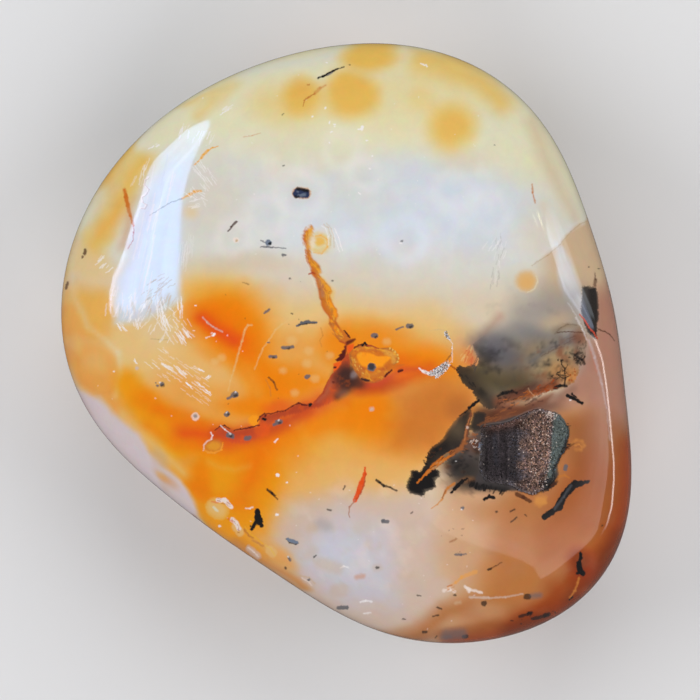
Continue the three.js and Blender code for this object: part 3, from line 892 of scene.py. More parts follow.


# %% [markdown]
# ## Black inclusions
# Manganese oxide grew in flat sheets and mossy tufts inside the stone. Their edges are crisp where they
# break off and vanish where they sink into the milk. So each point stores its distance to the outlines and
# the colour that it would have inside them. The pocket ground is drawn the same way, but it is painted
# shade in the open hollow, not an inclusion. The shader cuts the edge, and where both colours agree there
# is none.

# %% Night shapes
NIGHT_OUTLINES = {
    "upper sheet": [
        (457, 369), (459, 365.5), (466, 367), (472, 365), (478, 366), (480, 360), (476, 352), (474, 345),
        (480, 340),
        (500, 322), (530, 316), (560, 322), (580, 324), (587, 334), (588.4, 342), (587.2, 354), (586, 365),
        (580.5, 365), (579.4, 374.4), (575.2, 382.8), (567.4, 387.6), (556, 390), (547.6, 393),
        (539.2, 394.8),
        (532, 400), (522.4, 406.8), (510, 408), (500, 409), (489.4, 409.2), (484, 406.8), (478, 399.6),
        (473.8, 391.2),
        (467.8, 387), (462.4, 381.6),
    ],
    "edge sheet": [
        (583, 286), (597.5, 287), (599.3, 295), (600, 306), (600, 320.5), (598.4, 324), (598.4, 339.5),
        (594.8, 339.5), (590.3, 335), (586, 326), (582, 312),
    ],
    "arm": [
        (472, 407), (457.3, 419), (449.3, 429.7), (444, 439), (432, 448.3), (428.7, 455), (426.7, 464.3),
        (421, 473),
        (419, 484), (433, 473.5), (440, 466.5), (449, 459.5), (458, 454), (466.7, 446), (470.7, 434),
        (471.4, 424),
        (473, 414),
    ],
    "tuft": [
        (411.3, 471), (416, 469.7), (421.3, 471.7), (427, 470), (434, 468), (441, 471), (441, 477.3),
        (436.7, 479.7),
        (437.3, 487.7), (433, 490.3), (427.3, 491.7), (425, 497.3), (417.3, 495.3), (410.7, 494), (407, 487),
        (409, 480.3), (412.3, 475.3),
    ],
    "small sheet": [(474.7, 413), (480, 411), (487, 413.7), (486.7, 424), (482, 431), (475, 433), (471, 428)],
    # Painted shade: the pocket ground is the open hollow's shadowed inside, not an inclusion.
    "pocket ground": [
        (488, 423), (500, 421), (520, 415), (535, 410.5), (556, 412), (561, 414), (565.3, 420), (570, 427),
        (571, 434),
        (567, 449), (560.5, 458), (559, 468), (561, 477), (557, 485), (550, 491), (534, 496), (522, 492),
        (510, 491),
        (505, 493), (498, 491), (489, 490), (480, 492), (474, 487), (480, 470), (482, 445),
    ],
}


def night_gap(seen):
    """Distance to the nearest inclusion or to the pocket's painted shade, negative inside."""
    return np.min([patch_gap(seen, outline) for outline in NIGHT_OUTLINES.values()], axis=0)


def paint_upper_sheet(c, at):
    """Near black at its broken lower left edge, olive and khaki to the right, red-brown along the bottom."""
    return glazed(c, at, [
        ("reed", 0.9, (528, 368, 50, 24, 12, 0.6)), ("khaki", 0.8, (554, 357, 26, 13, 20, 0.7)),
        ("amber", 0.6, (566, 374, 16, 12, 0, 0.7)), ("storm", 0.8, (502, 356, 24, 14, -15)),
        ("slate", 0.75, [(534, 361), (544, 352), (560, 344), (576, 339)], 8, 7),
        ("olive", 0.95, [(480, 374), (500, 384), (520, 384)], 24, 13),
        ("night", 0.85, [(460, 370), (474, 388), (492, 404)], 18, 9),
        ("night", 0.5, [(476, 347), (482, 352)], 5, 4),
        ("reed", 0.6, [(556, 331), (568, 326), (582, 328)], 5, 4),
        ("toffee", 0.9, [(500, 402), (520, 396), (540, 389), (556, 384)], 10, 6),
        ("cocoa", 0.7, [(508, 396), (524, 391), (536, 384)], 5, 6),
        ("rust", 0.55, [(530, 396), (544, 390), (556, 386)], 5, 4), ("amber", 0.7, (574, 377, 7, 8, 20, 0.7)),
        ("toffee", 0.7, (581, 338, 8, 7, 0, 0.7)), ("umber", 0.15, (580, 356, 9, 10)),
    ])


def paint_pocket_ground(c, at):
    """The pocket's dark ground: graphite over the hollow as painted shade, seen on its left, and a grey-green
    slab on the far right.
    """
    inside = 1 - smooth(-2, 2, patch_gap(at, NIGHT_OUTLINES["pocket ground"]))
    # Painted shade: graphite over the whole hollow.
    c = lay(c, "graphite", inside, 0.95)
    c = lay(c, "ink", band(at, [(468, 486), (490, 488), (508, 491)], 6, 3), 0.7)
    slab = [(556, 412), (561, 414), (566, 420), (571, 428), (571, 436), (566, 450), (560, 460), (557, 472),
            (554, 482),
            (547, 488), (549, 470), (552, 452), (553, 428)]
    return glazed(c, at, [
        ("moss", 1, slab, 2), ("ink", 0.7, [(566, 420), (570.5, 428), (570, 437), (567, 449)], 1.5, 1.5),
        ("night", 0.95, (551, 485, 11, 8, 0, 0.6)),
    ])


def paint_shade(at, place, clouds):
    """What each point would look like inside an inclusion or the pocket's painted shade: the clouds, with its
    own glazes on top.
    """
    at = drifted(at, place, 1.2, 1.5, 21)
    c = paint_upper_sheet(clouds.copy(), at)
    c = wisps(c, place, "graphite", blob(at, 530, 368, 60, 26, 8, 0.4), 0.9, 81, 0.45)
    c = wisps(c, place, "toffee", blob(at, 558, 364, 36, 22, 10, 0.5), 0.8, 88, 0.6)
    c = wisps(c, place, "ink", blob(at, 562, 362, 32, 24, 10, 0.5), 0.35, 87, 0.55)
    c = wisps(c, place, "ink", blob(at, 500, 374, 34, 30, 0, 0.5), 1.2, 89, 0.5)
    c = glazed(c, at, [
        ("night", 1, NIGHT_OUTLINES["edge sheet"], 2), ("smoke", 0.3, (584, 298, 5, 12)),
    ])
    for name in ("arm", "small sheet"):
        c = lay(c, "night", patch(at, NIGHT_OUTLINES[name], 3), 0.92)
    c = glazed(c, at, [
        ("reed", 0.35, (457, 428, 8, 12, 30)), ("ink", 0.7, [(424, 470), (434, 452), (446, 447)], 9, 5),
        ("ink", 1, NIGHT_OUTLINES["tuft"], 3),
    ])
    return paint_pocket_ground(c, at)


# %% [markdown]
# ## Marks
# Hundreds of specks, dashes and hair cracks are only a few tenths of a millimetre wide, finer than the
# skin's cells. Each one is a rounded bar: a middle, a direction, half a length and a radius. Every face of
# the skin stores its six nearest bars, and the shader works out the exact distance to them, so that they
# stay sharp at any size. A bent line is a chain of bars.

# %% Marks table
MARKS = []


def bar(tint, x, y, length, width, turn=0.0, soft=0.8, strength=1.0):
    """One mark: its middle in pixels, its full length and width, and its turn from level, anticlockwise."""
    radius = width / 2
    half = max(0.0, length / 2 - radius)
    MARKS.append([x, y, math.radians(turn), half, radius, soft, *TINTS[tint], strength])


def stroke(tint, points, widths, soft=0.7, strength=1.0):
    """A chain of bars through points, as wide at each point as its width says."""
    widths = np.broadcast_to(np.asarray(widths, float), len(points))
    for a, b, width_a, width_b in zip(points[:-1], points[1:], widths[:-1], widths[1:]):
        length = math.hypot(b[0] - a[0], b[1] - a[1])
        width = (width_a + width_b) / 2
        turn = math.degrees(math.atan2(a[1] - b[1], b[0] - a[0]))
        bar(tint, (a[0] + b[0]) / 2, (a[1] + b[1]) / 2, length + width, width, turn, soft, strength)


def scratches(tint, x, y, along, across, way, spread, count, length, width, seed, strength=0.7):
    """Short bars strewn in an ellipse, which all run nearly the same way, in degrees from level."""
    random = np.random.default_rng(seed)
    turn = math.radians(way)
    for _ in range(count):
        u = random.uniform(-0.5, 0.5) * along
        v = random.uniform(-0.5, 0.5) * across
        here_x = x + u * math.cos(turn) - v * math.sin(turn)
        here_y = y - u * math.sin(turn) - v * math.cos(turn)
        bar(tint, here_x, here_y, length * random.uniform(0.5, 1.3), width * random.uniform(0.7, 1.2),
            way + random.uniform(-spread, spread), 0.6, strength * random.uniform(0.6, 1.1))


def specks(tint, corners, count, size, seed, strength=0.7):
    """Tiny dots strewn in a box of pixels."""
    random = np.random.default_rng(seed)
    for _ in range(count):
        x = random.uniform(corners[0], corners[2])
        y = random.uniform(corners[1], corners[3])
        width = size * random.uniform(0.6, 1.3)
        bar(tint, x, y, width * random.uniform(1, 1.6), width, random.uniform(0, 180), 0.6, strength)


def draw(rows):
    """Marks in drawing order. A row is a tint, a soft edge and a strength, and then x, y, length, width and
    turn of a bar, or x, y and width at each point of a stroke."""
    for tint, soft, strength, *numbers in rows:
        if len(numbers) > 5:
            chain = np.reshape(numbers, (-1, 3))
            stroke(tint, chain[:, :2], chain[:, 2], soft, strength)
        else:
            bar(tint, *numbers, soft=soft, strength=strength)


def bold_marks():
    """The large black inclusions in the clear parts."""
    draw([
        ("ink", 0.7, 1, 589, 482, 2.6, 582, 483.5, 5.4, 576, 486, 6.6),
        ("ink", 0.7, 1, 576, 484, 7, 571.5, 489, 8, 566, 495, 7),
        ("ink", 0.7, 1, 566, 495, 6, 562.5, 501, 7.5, 560, 507, 9),
        ("ink", 0.7, 1, 560, 507, 7, 552, 513, 5.4, 545.5, 517.5, 6.4),
        ("slate", 1.6, 0.5, 572, 486, 1.2, 565, 497, 2.5, 556, 509, 1.2),
        ("ink", 0.7, 1, 581.5, 554, 3, 582, 558, 4, 580.5, 563, 2.5),
        ("ink", 0.7, 1, 580, 564, 4, 581, 570, 7, 584, 574, 4), ("ink", 0.8, 1, 580, 573, 6, 3.5, 20),
        ("sienna", 1, 0.8, 580, 578, 2, 579, 583, 2.5, 576, 591, 1.5, 571, 598, 1.8),
        ("ink", 0.8, 1, 572, 598.5, 6, 1.5, 40), ("ink", 0.7, 1, 258.6, 511.5, 4, 259, 517, 7, 260.5, 522, 8),
        ("ink", 0.8, 1, 262.5, 525.5, 5.5, 4, -70),
        ("ink", 0.7, 1, 257, 522, 4, 254.5, 527, 4, 252.8, 529.5, 3),
        ("ink", 0.8, 1, 251.6, 526.5, 2.5, 1.6, 90),
        ("ink", 0.7, 1, 319.5, 78.3, 1.2, 324, 76.6, 2, 329, 74.6, 2.6),
        ("ink", 0.7, 1, 329, 74.6, 2.6, 334, 71.6, 2.6, 338.5, 69, 1.4),
        ("smoke", 0.8, 0.8, 329, 75.6, 0.8, 334, 73, 1.2),
        ("ink", 0.7, 0.9, 338.5, 69, 1, 342, 68.2, 0.8, 345.5, 67.2, 1.5),
        ("ink", 0.8, 1, 350.6, 65.2, 1.8, 1.2), ("sienna", 0.7, 0.9, 309.5, 85, 3.5, 1.4),
        ("ink", 0.7, 1, 569, 396, 3, 574, 398.5, 5, 583, 403.5, 1.6),
        ("ink", 0.7, 1, 573, 394, 1.2, 577, 397.5, 2.5), ("frost", 0.8, 1, 571.5, 400.5, 1.8, 1.2),
        ("ink", 0.7, 1, 485, 500, 1.5, 490, 497, 4.5, 495.5, 498, 2), ("ink", 0.8, 1, 490.5, 495.5, 3, 2, 60),
        ("ink", 0.7, 1, 452.5, 493, 1.4, 456, 489, 3.4, 460, 485, 5),
        ("ink", 0.7, 1, 460, 485, 5, 464, 481.5, 3, 468, 479, 1.5),
        ("ink", 0.7, 1, 470, 408, 2, 475, 404.5, 4, 480, 401, 1.5),
    ])


def small_black_marks():
    """Dashes and dots of manganese."""
    draw([
        ("ink", 0.8, 0.9, 268.5, 490, 2, 273, 493.6, 3.4, 276, 496, 1.6),
        ("ink", 0.7, 0.8, 277.5, 498.5, 4, 1.1, -45),
        ("ink", 0.8, 0.9, 377.5, 480.5, 1.2, 381, 483, 3.4, 385, 486, 2),
        ("ink", 0.8, 0.85, 385, 486, 1.6, 391, 487.6, 2.4, 398, 491, 1.2),
    ])
    for x, y, length, width, turn in [
        (485.2, 603.7, 6, 5.5, 0), (528.5, 597, 8, 6, 10), (526, 615.4, 14, 3, 17), (531, 613.5, 6, 3.4, 10),
        (541.5, 617.4, 19, 3.6, 12), (548, 615, 8, 4, 15), (515, 520, 9, 1.6, 38), (513.8, 510.8, 6.5, 1.9,
                                                                                    30),
        (497.8, 512.2, 2.8, 2, 0), (456, 595.5, 3.4, 1.8, 0), (440.5, 608.5, 6.5, 1.8, -20), (437, 616, 7.5,
                                                                                              1.4, 12),
        (420, 596, 4.5, 1.3, -10), (405, 619.5, 4, 1.2, 0), (426, 632.4, 6, 2.6, 8), (437.5, 637, 4, 1.4, 40),
        (378.5, 568, 4, 3, 0), (286.8, 568.4, 3.2, 2.4, -50), (330.5, 510.2, 5, 1.5, -15), (345.3, 488, 5,
                                                                                            1.5, 62),
        (466.7, 637, 7, 4, 0), (316, 556.8, 4.6, 1.7, 50), (413, 513, 3, 1.2, 30), (425, 461, 2, 1.2, 0),
        (436, 470, 1.5, 1.2, 0), (513, 621, 3, 1.2, 0), (527, 515.6, 3, 1.0, -40), (284.4, 166, 2, 1.4, 30),
        (284, 114.6, 3.2, 0.9, 40), (495.6, 145.6, 1.6, 1.2, 0), (291, 279, 2, 1.5, 0), (293, 314, 2.4, 1.4,
                                                                                         0),
        (333.5, 281, 2, 1.6, 0), (603.5, 526, 2.2, 1.4, 70), (600, 269, 2, 1.2, 0), (590, 267, 1.6, 1.1, 0),
    ]:
        bar("ink", x, y, length, width, turn, 0.8, 0.8)
    draw([
        ("ink", 0.8, 0.85, 489, 570.4, 2.4, 492, 568.8, 1.6),
        ("umber", 0.8, 0.7, 492, 568.8, 1.6, 497, 566, 1.3, 503, 562.6, 0.8),
        ("slate", 0.8, 0.8, 456.5, 555, 3, 462, 555, 2.2, 467, 554.4, 0.8),
        ("russet", 1, 0.6, 454.5, 540.6, 8, 2, 30), ("slate", 2.6, 0.6, 537.5, 596, 12, 5, 5),
        ("slate", 4, 0.6, 455, 634.5, 26, 11, 5), ("slate", 2, 0.5, 447, 637.5, 12, 3, 5),
        ("umber", 0.8, 0.85, 518, 494.4, 4, 524.5, 497.6, 4.6, 531.3, 501.5, 3.4),
        ("umber", 0.8, 0.85, 86, 254, 2.6, 86.5, 250.5, 4), ("umber", 0.8, 0.8, 83.6, 257.5, 3.4, 2.2, 70),
        ("umber", 0.8, 0.8, 68, 286, 9, 2.6, 75),
    ])
    for row in [
        ("ink", (500, 600, 560, 625), 7, 1.2, 4, 0.6), ("umber", (425, 520, 470, 560), 6, 1.3, 5, 0.4),
    ]:
        specks(*row)


def grey_pits():
    """Small open pits and blue-grey inclusions in the milk, with painted shade inside the pits and painted
    highlights on their edges.
    """
    draw([
        ("gold", 1.4, 0.35, 302.8, 193, 19.5, 11.5, -6), ("slate", 0.8, 0.8, 403, 241.6, 2.8, 2.2),
        ("frost", 0.8, 0.8, 402, 243.4, 2, 1.2), ("milk", 3, 0.35, 303, 193.6, 25, 18, -6),
        ("sienna", 0.9, 0.5, 303, 193.4, 19, 11, -6), ("navy", 0.9, 1, 299.4, 193.4, 10.4, 9.6),
        ("navy", 0.9, 1, 305.6, 194, 11, 9, -8), ("ink", 0.9, 0.9, 304, 190, 14, 3, -14),
        # Painted highlights: the two steel bars in the dark blue pit.
        ("steel", 1.4, 0.7, 303, 195.4, 8, 3.4, 10), ("ink", 0.8, 0.8, 298, 197, 5, 2.8),
        ("steel", 0.8, 0.6, 299, 192, 3, 2),
        ("slate", 0.8, 0.85, 262, 247.4, 1, 268, 247, 2, 274, 247.8, 1.4, 287, 248.6, 0.8),
        ("steel", 0.8, 1, 269.6, 243, 6.5, 6.5, 30), ("ink", 0.8, 0.9, 271, 244, 3.4, 3, 30),
        ("slate", 0.7, 0.8, 262, 240.6, 0.9, 266, 242.6, 1.4),
        ("cocoa", 0.7, 0.85, 229, 231.4, 1.2, 233, 227, 1.6),
        ("cocoa", 0.7, 0.85, 233, 227, 2.8, 237.4, 222.2, 2.2),
        ("rose_white", 0.9, 0.8, 237.4, 240.4, 6, 5.6), ("sand", 0.8, 0.9, 237.8, 240.8, 2.8, 2.6),
    ])
    for x, y, length, width, turn in [
        (285, 255.4, 5, 2.4, 0), (268, 311.5, 8, 2.2, 35), (289, 347.8, 13, 3.4, 4), (274, 357, 9, 3, 0),
        (375.6, 336, 7, 5, 5), (411, 326.4, 8, 5, 0), (401, 328.6, 9, 1.8, 22), (308.5, 377, 6, 4, 35),
        (236, 395, 8, 6, 20), (230.6, 398, 6, 2.4, 30), (228, 414.5, 6, 5, 30), (163, 384.6, 5, 4, 30),
        (158.6, 386, 2.8, 2.6, 0), (157, 383.4, 1.8, 1.4, 0), (231.5, 436, 9, 5, -20), (249, 438.4, 8, 4.6,
                                                                                        20),
        (280, 422.4, 8, 5, 10), (275.6, 425, 4, 3, 30), (290.8, 559.2, 6, 2.6, -60), (386.5, 522, 8, 4, 0),
        (384.5, 520.5, 4, 3, 0), (344, 608, 12, 4, 0), (566.8, 468, 7, 4, 75), (463.6, 508.4, 4, 3.4, 30),
        (310, 580, 3, 2, 20), (270, 343, 2.6, 1.6, 0),
    ]:
        bar("slate", x, y, length, width, turn, 0.8, 0.9)
    # Painted shade: an ink dot inside each of these pits, set towards its lower right.
    for x, y, size in [(289, 348, 2), (411, 326.6, 2.4), (163, 385, 2.4), (236, 395, 2.6), (228.6, 414, 2),
                       (280, 422.6, 2.2), (231, 435.6, 2), (273.6, 357.4, 2), (376, 336.4, 2)]:
        bar("ink", x + 1, y + 0.8, size * 1.6, size, 20, 1.0, 0.75)
    # Painted highlights: a white dot on one edge of some pits.
    for x, y in [(228, 413), (280, 420.6), (236.6, 392.6), (289.6, 557), (462.8, 510), (161, 383)]:
        bar("frost", x, y, 1.8, 1.3, 30, 0.8, 0.8)
    draw([
        ("ink", 0.8, 0.85, 287.6, 539.4, 1.4, 291, 543, 1.6, 297, 544.4, 1.4, 299.4, 543, 1),
        ("steel", 0.7, 1, 289, 539.6, 2, 293.6, 541.6, 4.4, 298, 542.6, 2.4),
        ("slate", 0.7, 1, 298.5, 326, 1.2, 303, 323.4, 3.2, 310, 322.4, 3.8, 317.5, 323, 1.4),
        ("ink", 0.7, 0.7, 300, 325.2, 0.9, 308, 324, 1.3, 316, 323.6, 0.8),
        ("frost", 0.8, 0.7, 361.6, 602.4, 1.2, 367, 601, 2.4, 373, 602, 1.2),
        ("frost", 0.8, 0.6, 365, 614, 1.2, 372, 613, 1.8),
        ("frost", 0.9, 0.7, 341.6, 568.4, 1, 345.3, 566.6, 2.2, 349, 567.6, 1),
        ("smoke", 5, 0.4, 325, 525.5, 18, 11, -20), ("sand", 4, 0.45, 313, 528.5, 12, 10),
        ("sand", 4, 0.4, 330, 566, 30, 12, -18), ("sand", 3, 0.35, 340, 591, 19, 13),
        ("amber", 2, 0.5, 361, 577, 11, 5, 10), ("sand", 3, 0.35, 378.5, 568, 10, 8),
    ])


def crack_marks():
    """The crack's hair lines: its edges, its dark bits, and the light that catches on it."""
    draw([
        ("rose_white", 0.7, 0.35, 311, 226, 1, 305, 230, 1, 302.2, 237, 1, 304.6, 244, 1, 306, 256, 1),
        ("rose_white", 0.7, 0.35, 306, 256, 1, 307.6, 263, 1, 311, 270, 1, 311.6, 275, 1, 316.6, 287, 1),
    ])
    for x, y, way in [(308, 235, 80), (308, 248, -75), (311, 262, -65), (319, 274, -60), (324, 288, -65),
                      (329, 303, -75), (334, 315, -80), (334, 326, -60), (341, 337, -40)]:
        scratches("sienna", x - 1, y, 15, 4, way, 18, 8, 5, 0.9, round(x + y), 0.7)
        scratches("gold", x + 1.5, y, 14, 4, way, 24, 6, 3.4, 0.9, round(x - y) + 200, 0.6)
    for row in [
        ("sienna", 374, 350, 34, 5, -8, 12, 14, 6, 0.9, 82, 0.6),
        ("sienna", 360, 369, 22, 6, -50, 16, 12, 5, 0.9, 83, 0.6),
        ("honey", 358, 366, 20, 6, -55, 30, 12, 1.6, 1.1, 84, 0.6),
        ("bronze", 384, 375, 22, 6, 38, 12, 10, 5, 0.9, 85, 0.7),
    ]:
        scratches(*row)
    draw([
        ("brick", 0.7, 0.9, 310, 274.5, 1, 314, 273, 2, 316, 274, 1),
        ("frost", 0.7, 0.55, 450, 337, 0.6, 453.4, 344, 0.6, 453.5, 353, 0.6, 453.6, 362, 0.9),
        ("frost", 0.7, 0.8, 420.4, 368.6, 0.8, 424, 371.4, 2, 430, 374, 3.2, 436, 374.6, 3.4),
    ])
    scratches("smoke", 429, 373.4, 12, 2.4, -20, 30, 8, 2, 0.8, 86, 0.6)
    draw([
        ("sand", 0.7, 0.4, 431, 331, 0.8, 439, 330, 0.8, 446, 330.6, 0.8),
        ("cocoa", 0.8, 0.5, 448, 360, 1.6, 451.4, 356, 1.4, 453, 353, 0.8),
        ("garnet", 0.7, 1, 345, 331, 1, 348, 334, 2, 351, 337.5, 1.4),
        ("garnet", 0.7, 1, 355.5, 348.4, 1.2, 359.7, 345.4, 1.2, 363, 345, 1.6),
        ("ink", 0.7, 1, 363.5, 345.5, 1.5, 366, 343.5, 3, 368.5, 346, 1.4),
        ("brick", 0.7, 1, 368.5, 346, 1.4, 372, 345.7, 1.2, 379.6, 349, 0.9),
        ("frost", 0.7, 0.8, 336, 229, 0.7, 340, 238, 1.2, 343.6, 251, 0.8),
        ("frost", 0.7, 0.6, 333, 230, 0.7, 337, 241, 1, 340.5, 252, 0.8),
        ("sand", 0.8, 0.6, 325, 225, 0.9, 329.4, 228, 0.9, 332, 236, 0.9, 332, 246, 0.9),
        ("sand", 0.8, 0.5, 328, 224, 0.8, 332.4, 229, 0.8, 335, 238, 0.8, 335.4, 248, 0.8),
        ("frost", 0.8, 0.6, 323, 226, 0.9, 327, 229, 0.9, 329.4, 237, 0.9, 329.4, 245, 0.9),
        ("gold", 0.8, 0.7, 317, 236.5, 1.3, 322, 235.5, 1.3, 328, 239, 1.3),
        ("gold", 0.8, 0.5, 328, 239, 1.3, 328.5, 247, 1.3, 323, 254, 1.3, 315, 253, 1.3),
    ])
    for x, y in [(391.4, 348.6), (394, 350.4), (396.4, 352.2), (398.6, 355), (399.6, 358.6), (399, 362.4)]:
        bar("honey", x, y, 2.2, 1.7, x * 7, 0.7, 0.9)
    draw([
        ("slate", 0.9, 1, 372.7, 367.5, 8.6, 8.2), ("plum", 0.9, 1, 372.6, 366.8, 6.6, 6),
        ("cocoa", 0.7, 1, 363, 379.2, 2, 366, 380.2, 2.6, 370, 380.8, 2),
        ("garnet", 0.7, 1, 386.2, 376.8, 1, 390, 372.8, 2.4, 393, 370.2, 1),
        ("garnet", 0.8, 1, 401.6, 371, 6, 2.6, 15), ("garnet", 0.8, 1, 336, 367.6, 3, 2.6),
        ("garnet", 0.8, 0.7, 334.6, 382.5, 3, 2.2),
        ("brick", 0.7, 0.9, 334, 374, 1.1, 328.5, 383, 1.1, 324.5, 393, 1.1, 315, 403, 1.1),
        ("ink", 0.8, 1, 311.4, 404.8, 4, 3.2, 50),
        ("garnet", 0.7, 0.9, 308, 405.4, 1.2, 303.3, 404.9, 2, 300, 403.4, 1.1, 294, 406.2, 1.2),
        ("garnet", 0.7, 0.85, 294, 406.2, 1.2, 287, 410.6, 1.2, 279, 412.2, 1.2, 271.6, 414.2, 1.2, 265.5,
         414, 1.2), ("garnet", 0.7, 0.9, 265.5, 414, 1.2, 261.4, 417, 1.4, 258.6, 422, 1.2),
        ("ink", 0.8, 1, 265.4, 419.6, 5, 3, -15), ("garnet", 0.8, 1, 266.5, 416, 2.6, 2, 60),
        ("garnet", 0.7, 0.9, 260.4, 425.6, 1.2, 251.2, 427.9, 1.6, 242, 429.4, 1.3, 235, 431, 1),
        ("garnet", 0.7, 0.85, 230.8, 429, 1, 225.7, 425.6, 1.6, 220.6, 426.8, 1.2, 216.5, 430.5, 1.2),
        ("frost", 0.8, 0.7, 222, 426, 1.1, 226, 429.6, 1.1, 231.8, 434.8, 1.1),
        ("frost", 0.8, 0.75, 211.9, 432.8, 1, 213.5, 435.8, 1, 212.4, 439.9, 1),
        ("rose_white", 0.8, 0.7, 212.4, 439.9, 1, 208.4, 441.9, 1, 205.3, 445, 1, 204.6, 451, 1),
        ("apricot", 0.9, 0.7, 205, 450, 1.2, 209, 452.6, 1.2, 216, 453, 1.2, 222, 450, 1.2, 224, 445, 1.2),
        ("frost", 0.7, 0.8, 276.2, 442.4, 1.3, 278.8, 439.4, 1.3),
        ("tangerine", 0.8, 0.7, 224, 443, 1.1, 223, 450, 1.1, 215, 453, 1.1, 207, 452, 1.1),
        ("rose_white", 1, 0.7, 196.6, 416.9, 8, 8), ("slate", 1, 0.7, 196.6, 416.5, 4, 4),
    ])


def threads():
    """Rust-red, golden and brown threads."""
    draw([
        ("ember", 0.8, 0.95, 366.4, 468, 1.2, 366, 474, 3, 363, 483, 5),
        ("ember", 0.8, 0.95, 363, 483, 5, 360, 492, 6, 356, 501, 3),
        ("brick", 0.7, 0.7, 366.6, 474, 0.8, 366, 482, 1.3, 362, 494, 1.4, 357, 500, 0.8),
        ("clay", 0.7, 0.9, 356, 501, 1.6, 351, 507, 1.2, 350, 513, 1.1, 351, 518, 0.7),
        ("bronze", 1.2, 0.95, 125.6, 190, 2.4, 127, 197, 4, 129, 206, 4.4),
        ("tawny", 1, 0.8, 129, 206, 4, 131.5, 216, 3, 134.6, 226, 1.6),
        ("wine", 0.7, 0.6, 134.6, 226, 1.2, 134.8, 233, 1.1, 134, 241, 1, 129, 249, 0.8),
        ("gold", 0.7, 0.9, 219, 146.6, 0.8, 214, 148, 1.2, 209, 151, 1.8),
        ("gold", 0.8, 0.75, 209, 151, 2.4, 205, 154.6, 3, 202.4, 158, 2),
        ("gold", 0.7, 0.9, 202.4, 158, 1.3, 199, 162, 1, 195.6, 165.4, 0.8),
        ("gold", 0.9, 0.75, 202, 191.4, 1.6, 196, 191.8, 3, 190, 195.4, 3),
        ("gold", 0.9, 0.75, 190, 195.4, 2.6, 183.4, 198.8, 1.4),
        ("slate", 0.7, 0.6, 183.4, 198.8, 1, 172, 202.8, 1, 160, 209.6, 0.9, 151, 215.8, 0.8),
        ("honey", 6, 0.4, 192.5, 212.4, 13, 12),
        ("amber", 1, 0.6, 326.4, 85.8, 1.2, 321, 88.6, 3, 316, 93.6, 3.2),
        ("sienna", 0.7, 0.85, 316, 93.6, 1.6, 309, 98, 1.5, 305.4, 101, 1.4, 304.2, 106, 0.9),
        ("amber", 0.8, 0.5, 244.8, 137.2, 0.8, 253, 136, 1, 261.6, 133.6, 0.8),
        ("sienna", 0.8, 0.7, 533.4, 185, 1, 534, 193, 2.2, 536.4, 203, 0.9),
        ("umber", 0.8, 0.7, 270, 378, 1.6, 275, 382, 2.4, 278, 390, 1.2),
        ("sienna", 1, 0.5, 267, 380, 1.2, 271, 388, 1.4, 272, 396, 1),
        ("sienna", 0.8, 0.9, 455.4, 484, 3, 449, 488, 2.6, 446, 493.4, 2),
        ("amber", 0.8, 0.9, 446, 493.4, 2, 443, 500, 1.6, 438, 505, 1.2, 432.8, 508.8, 0.8),
        ("garnet", 0.7, 0.6, 447, 491, 0.9, 443.6, 498, 0.9),
        ("crimson", 0.7, 0.9, 581, 315, 0.9, 586, 321, 1.5, 590.4, 327.8, 1.6),
        ("crimson", 0.7, 0.9, 590.4, 327.8, 1.6, 595, 333.6, 1.5, 598.4, 338.8, 1),
        ("frost", 0.9, 0.4, 577, 318, 0.9, 584, 330, 1.8, 588, 340, 1),
        ("frost", 0.9, 0.25, 569, 303, 0.7, 575, 312, 1.1, 581, 323, 0.8),
        ("lip", 1.4, 0.4, 590, 341, 3, 596, 358, 2.6, 603, 384, 2.2, 608, 408, 1.8, 611, 440, 1),
        ("ember", 1.2, 0.15, 588, 338, 0.8, 592, 352, 1.4, 598, 372, 0.8),
        ("umber", 0.7, 0.8, 599.3, 329.6, 1.2, 606, 331.8, 1.4, 611, 335, 1.2, 615.6, 341, 0.8),
        ("umber", 0.9, 0.7, 596, 274, 0.8, 596.6, 280, 2.4, 596, 286, 4),
        ("sienna", 0.8, 0.4, 159, 306, 1, 163, 309, 0.8), ("umber", 0.8, 0.5, 244, 283, 1.4, 250, 284.6, 0.9),
        ("sienna", 0.8, 0.5, 322, 328, 0.9, 324, 336, 1.1, 321, 341, 1, 323, 347, 0.8),
        ("umber", 0.8, 0.25, 152, 339, 0.7, 160, 340, 0.9, 169, 340, 0.6),
    ])


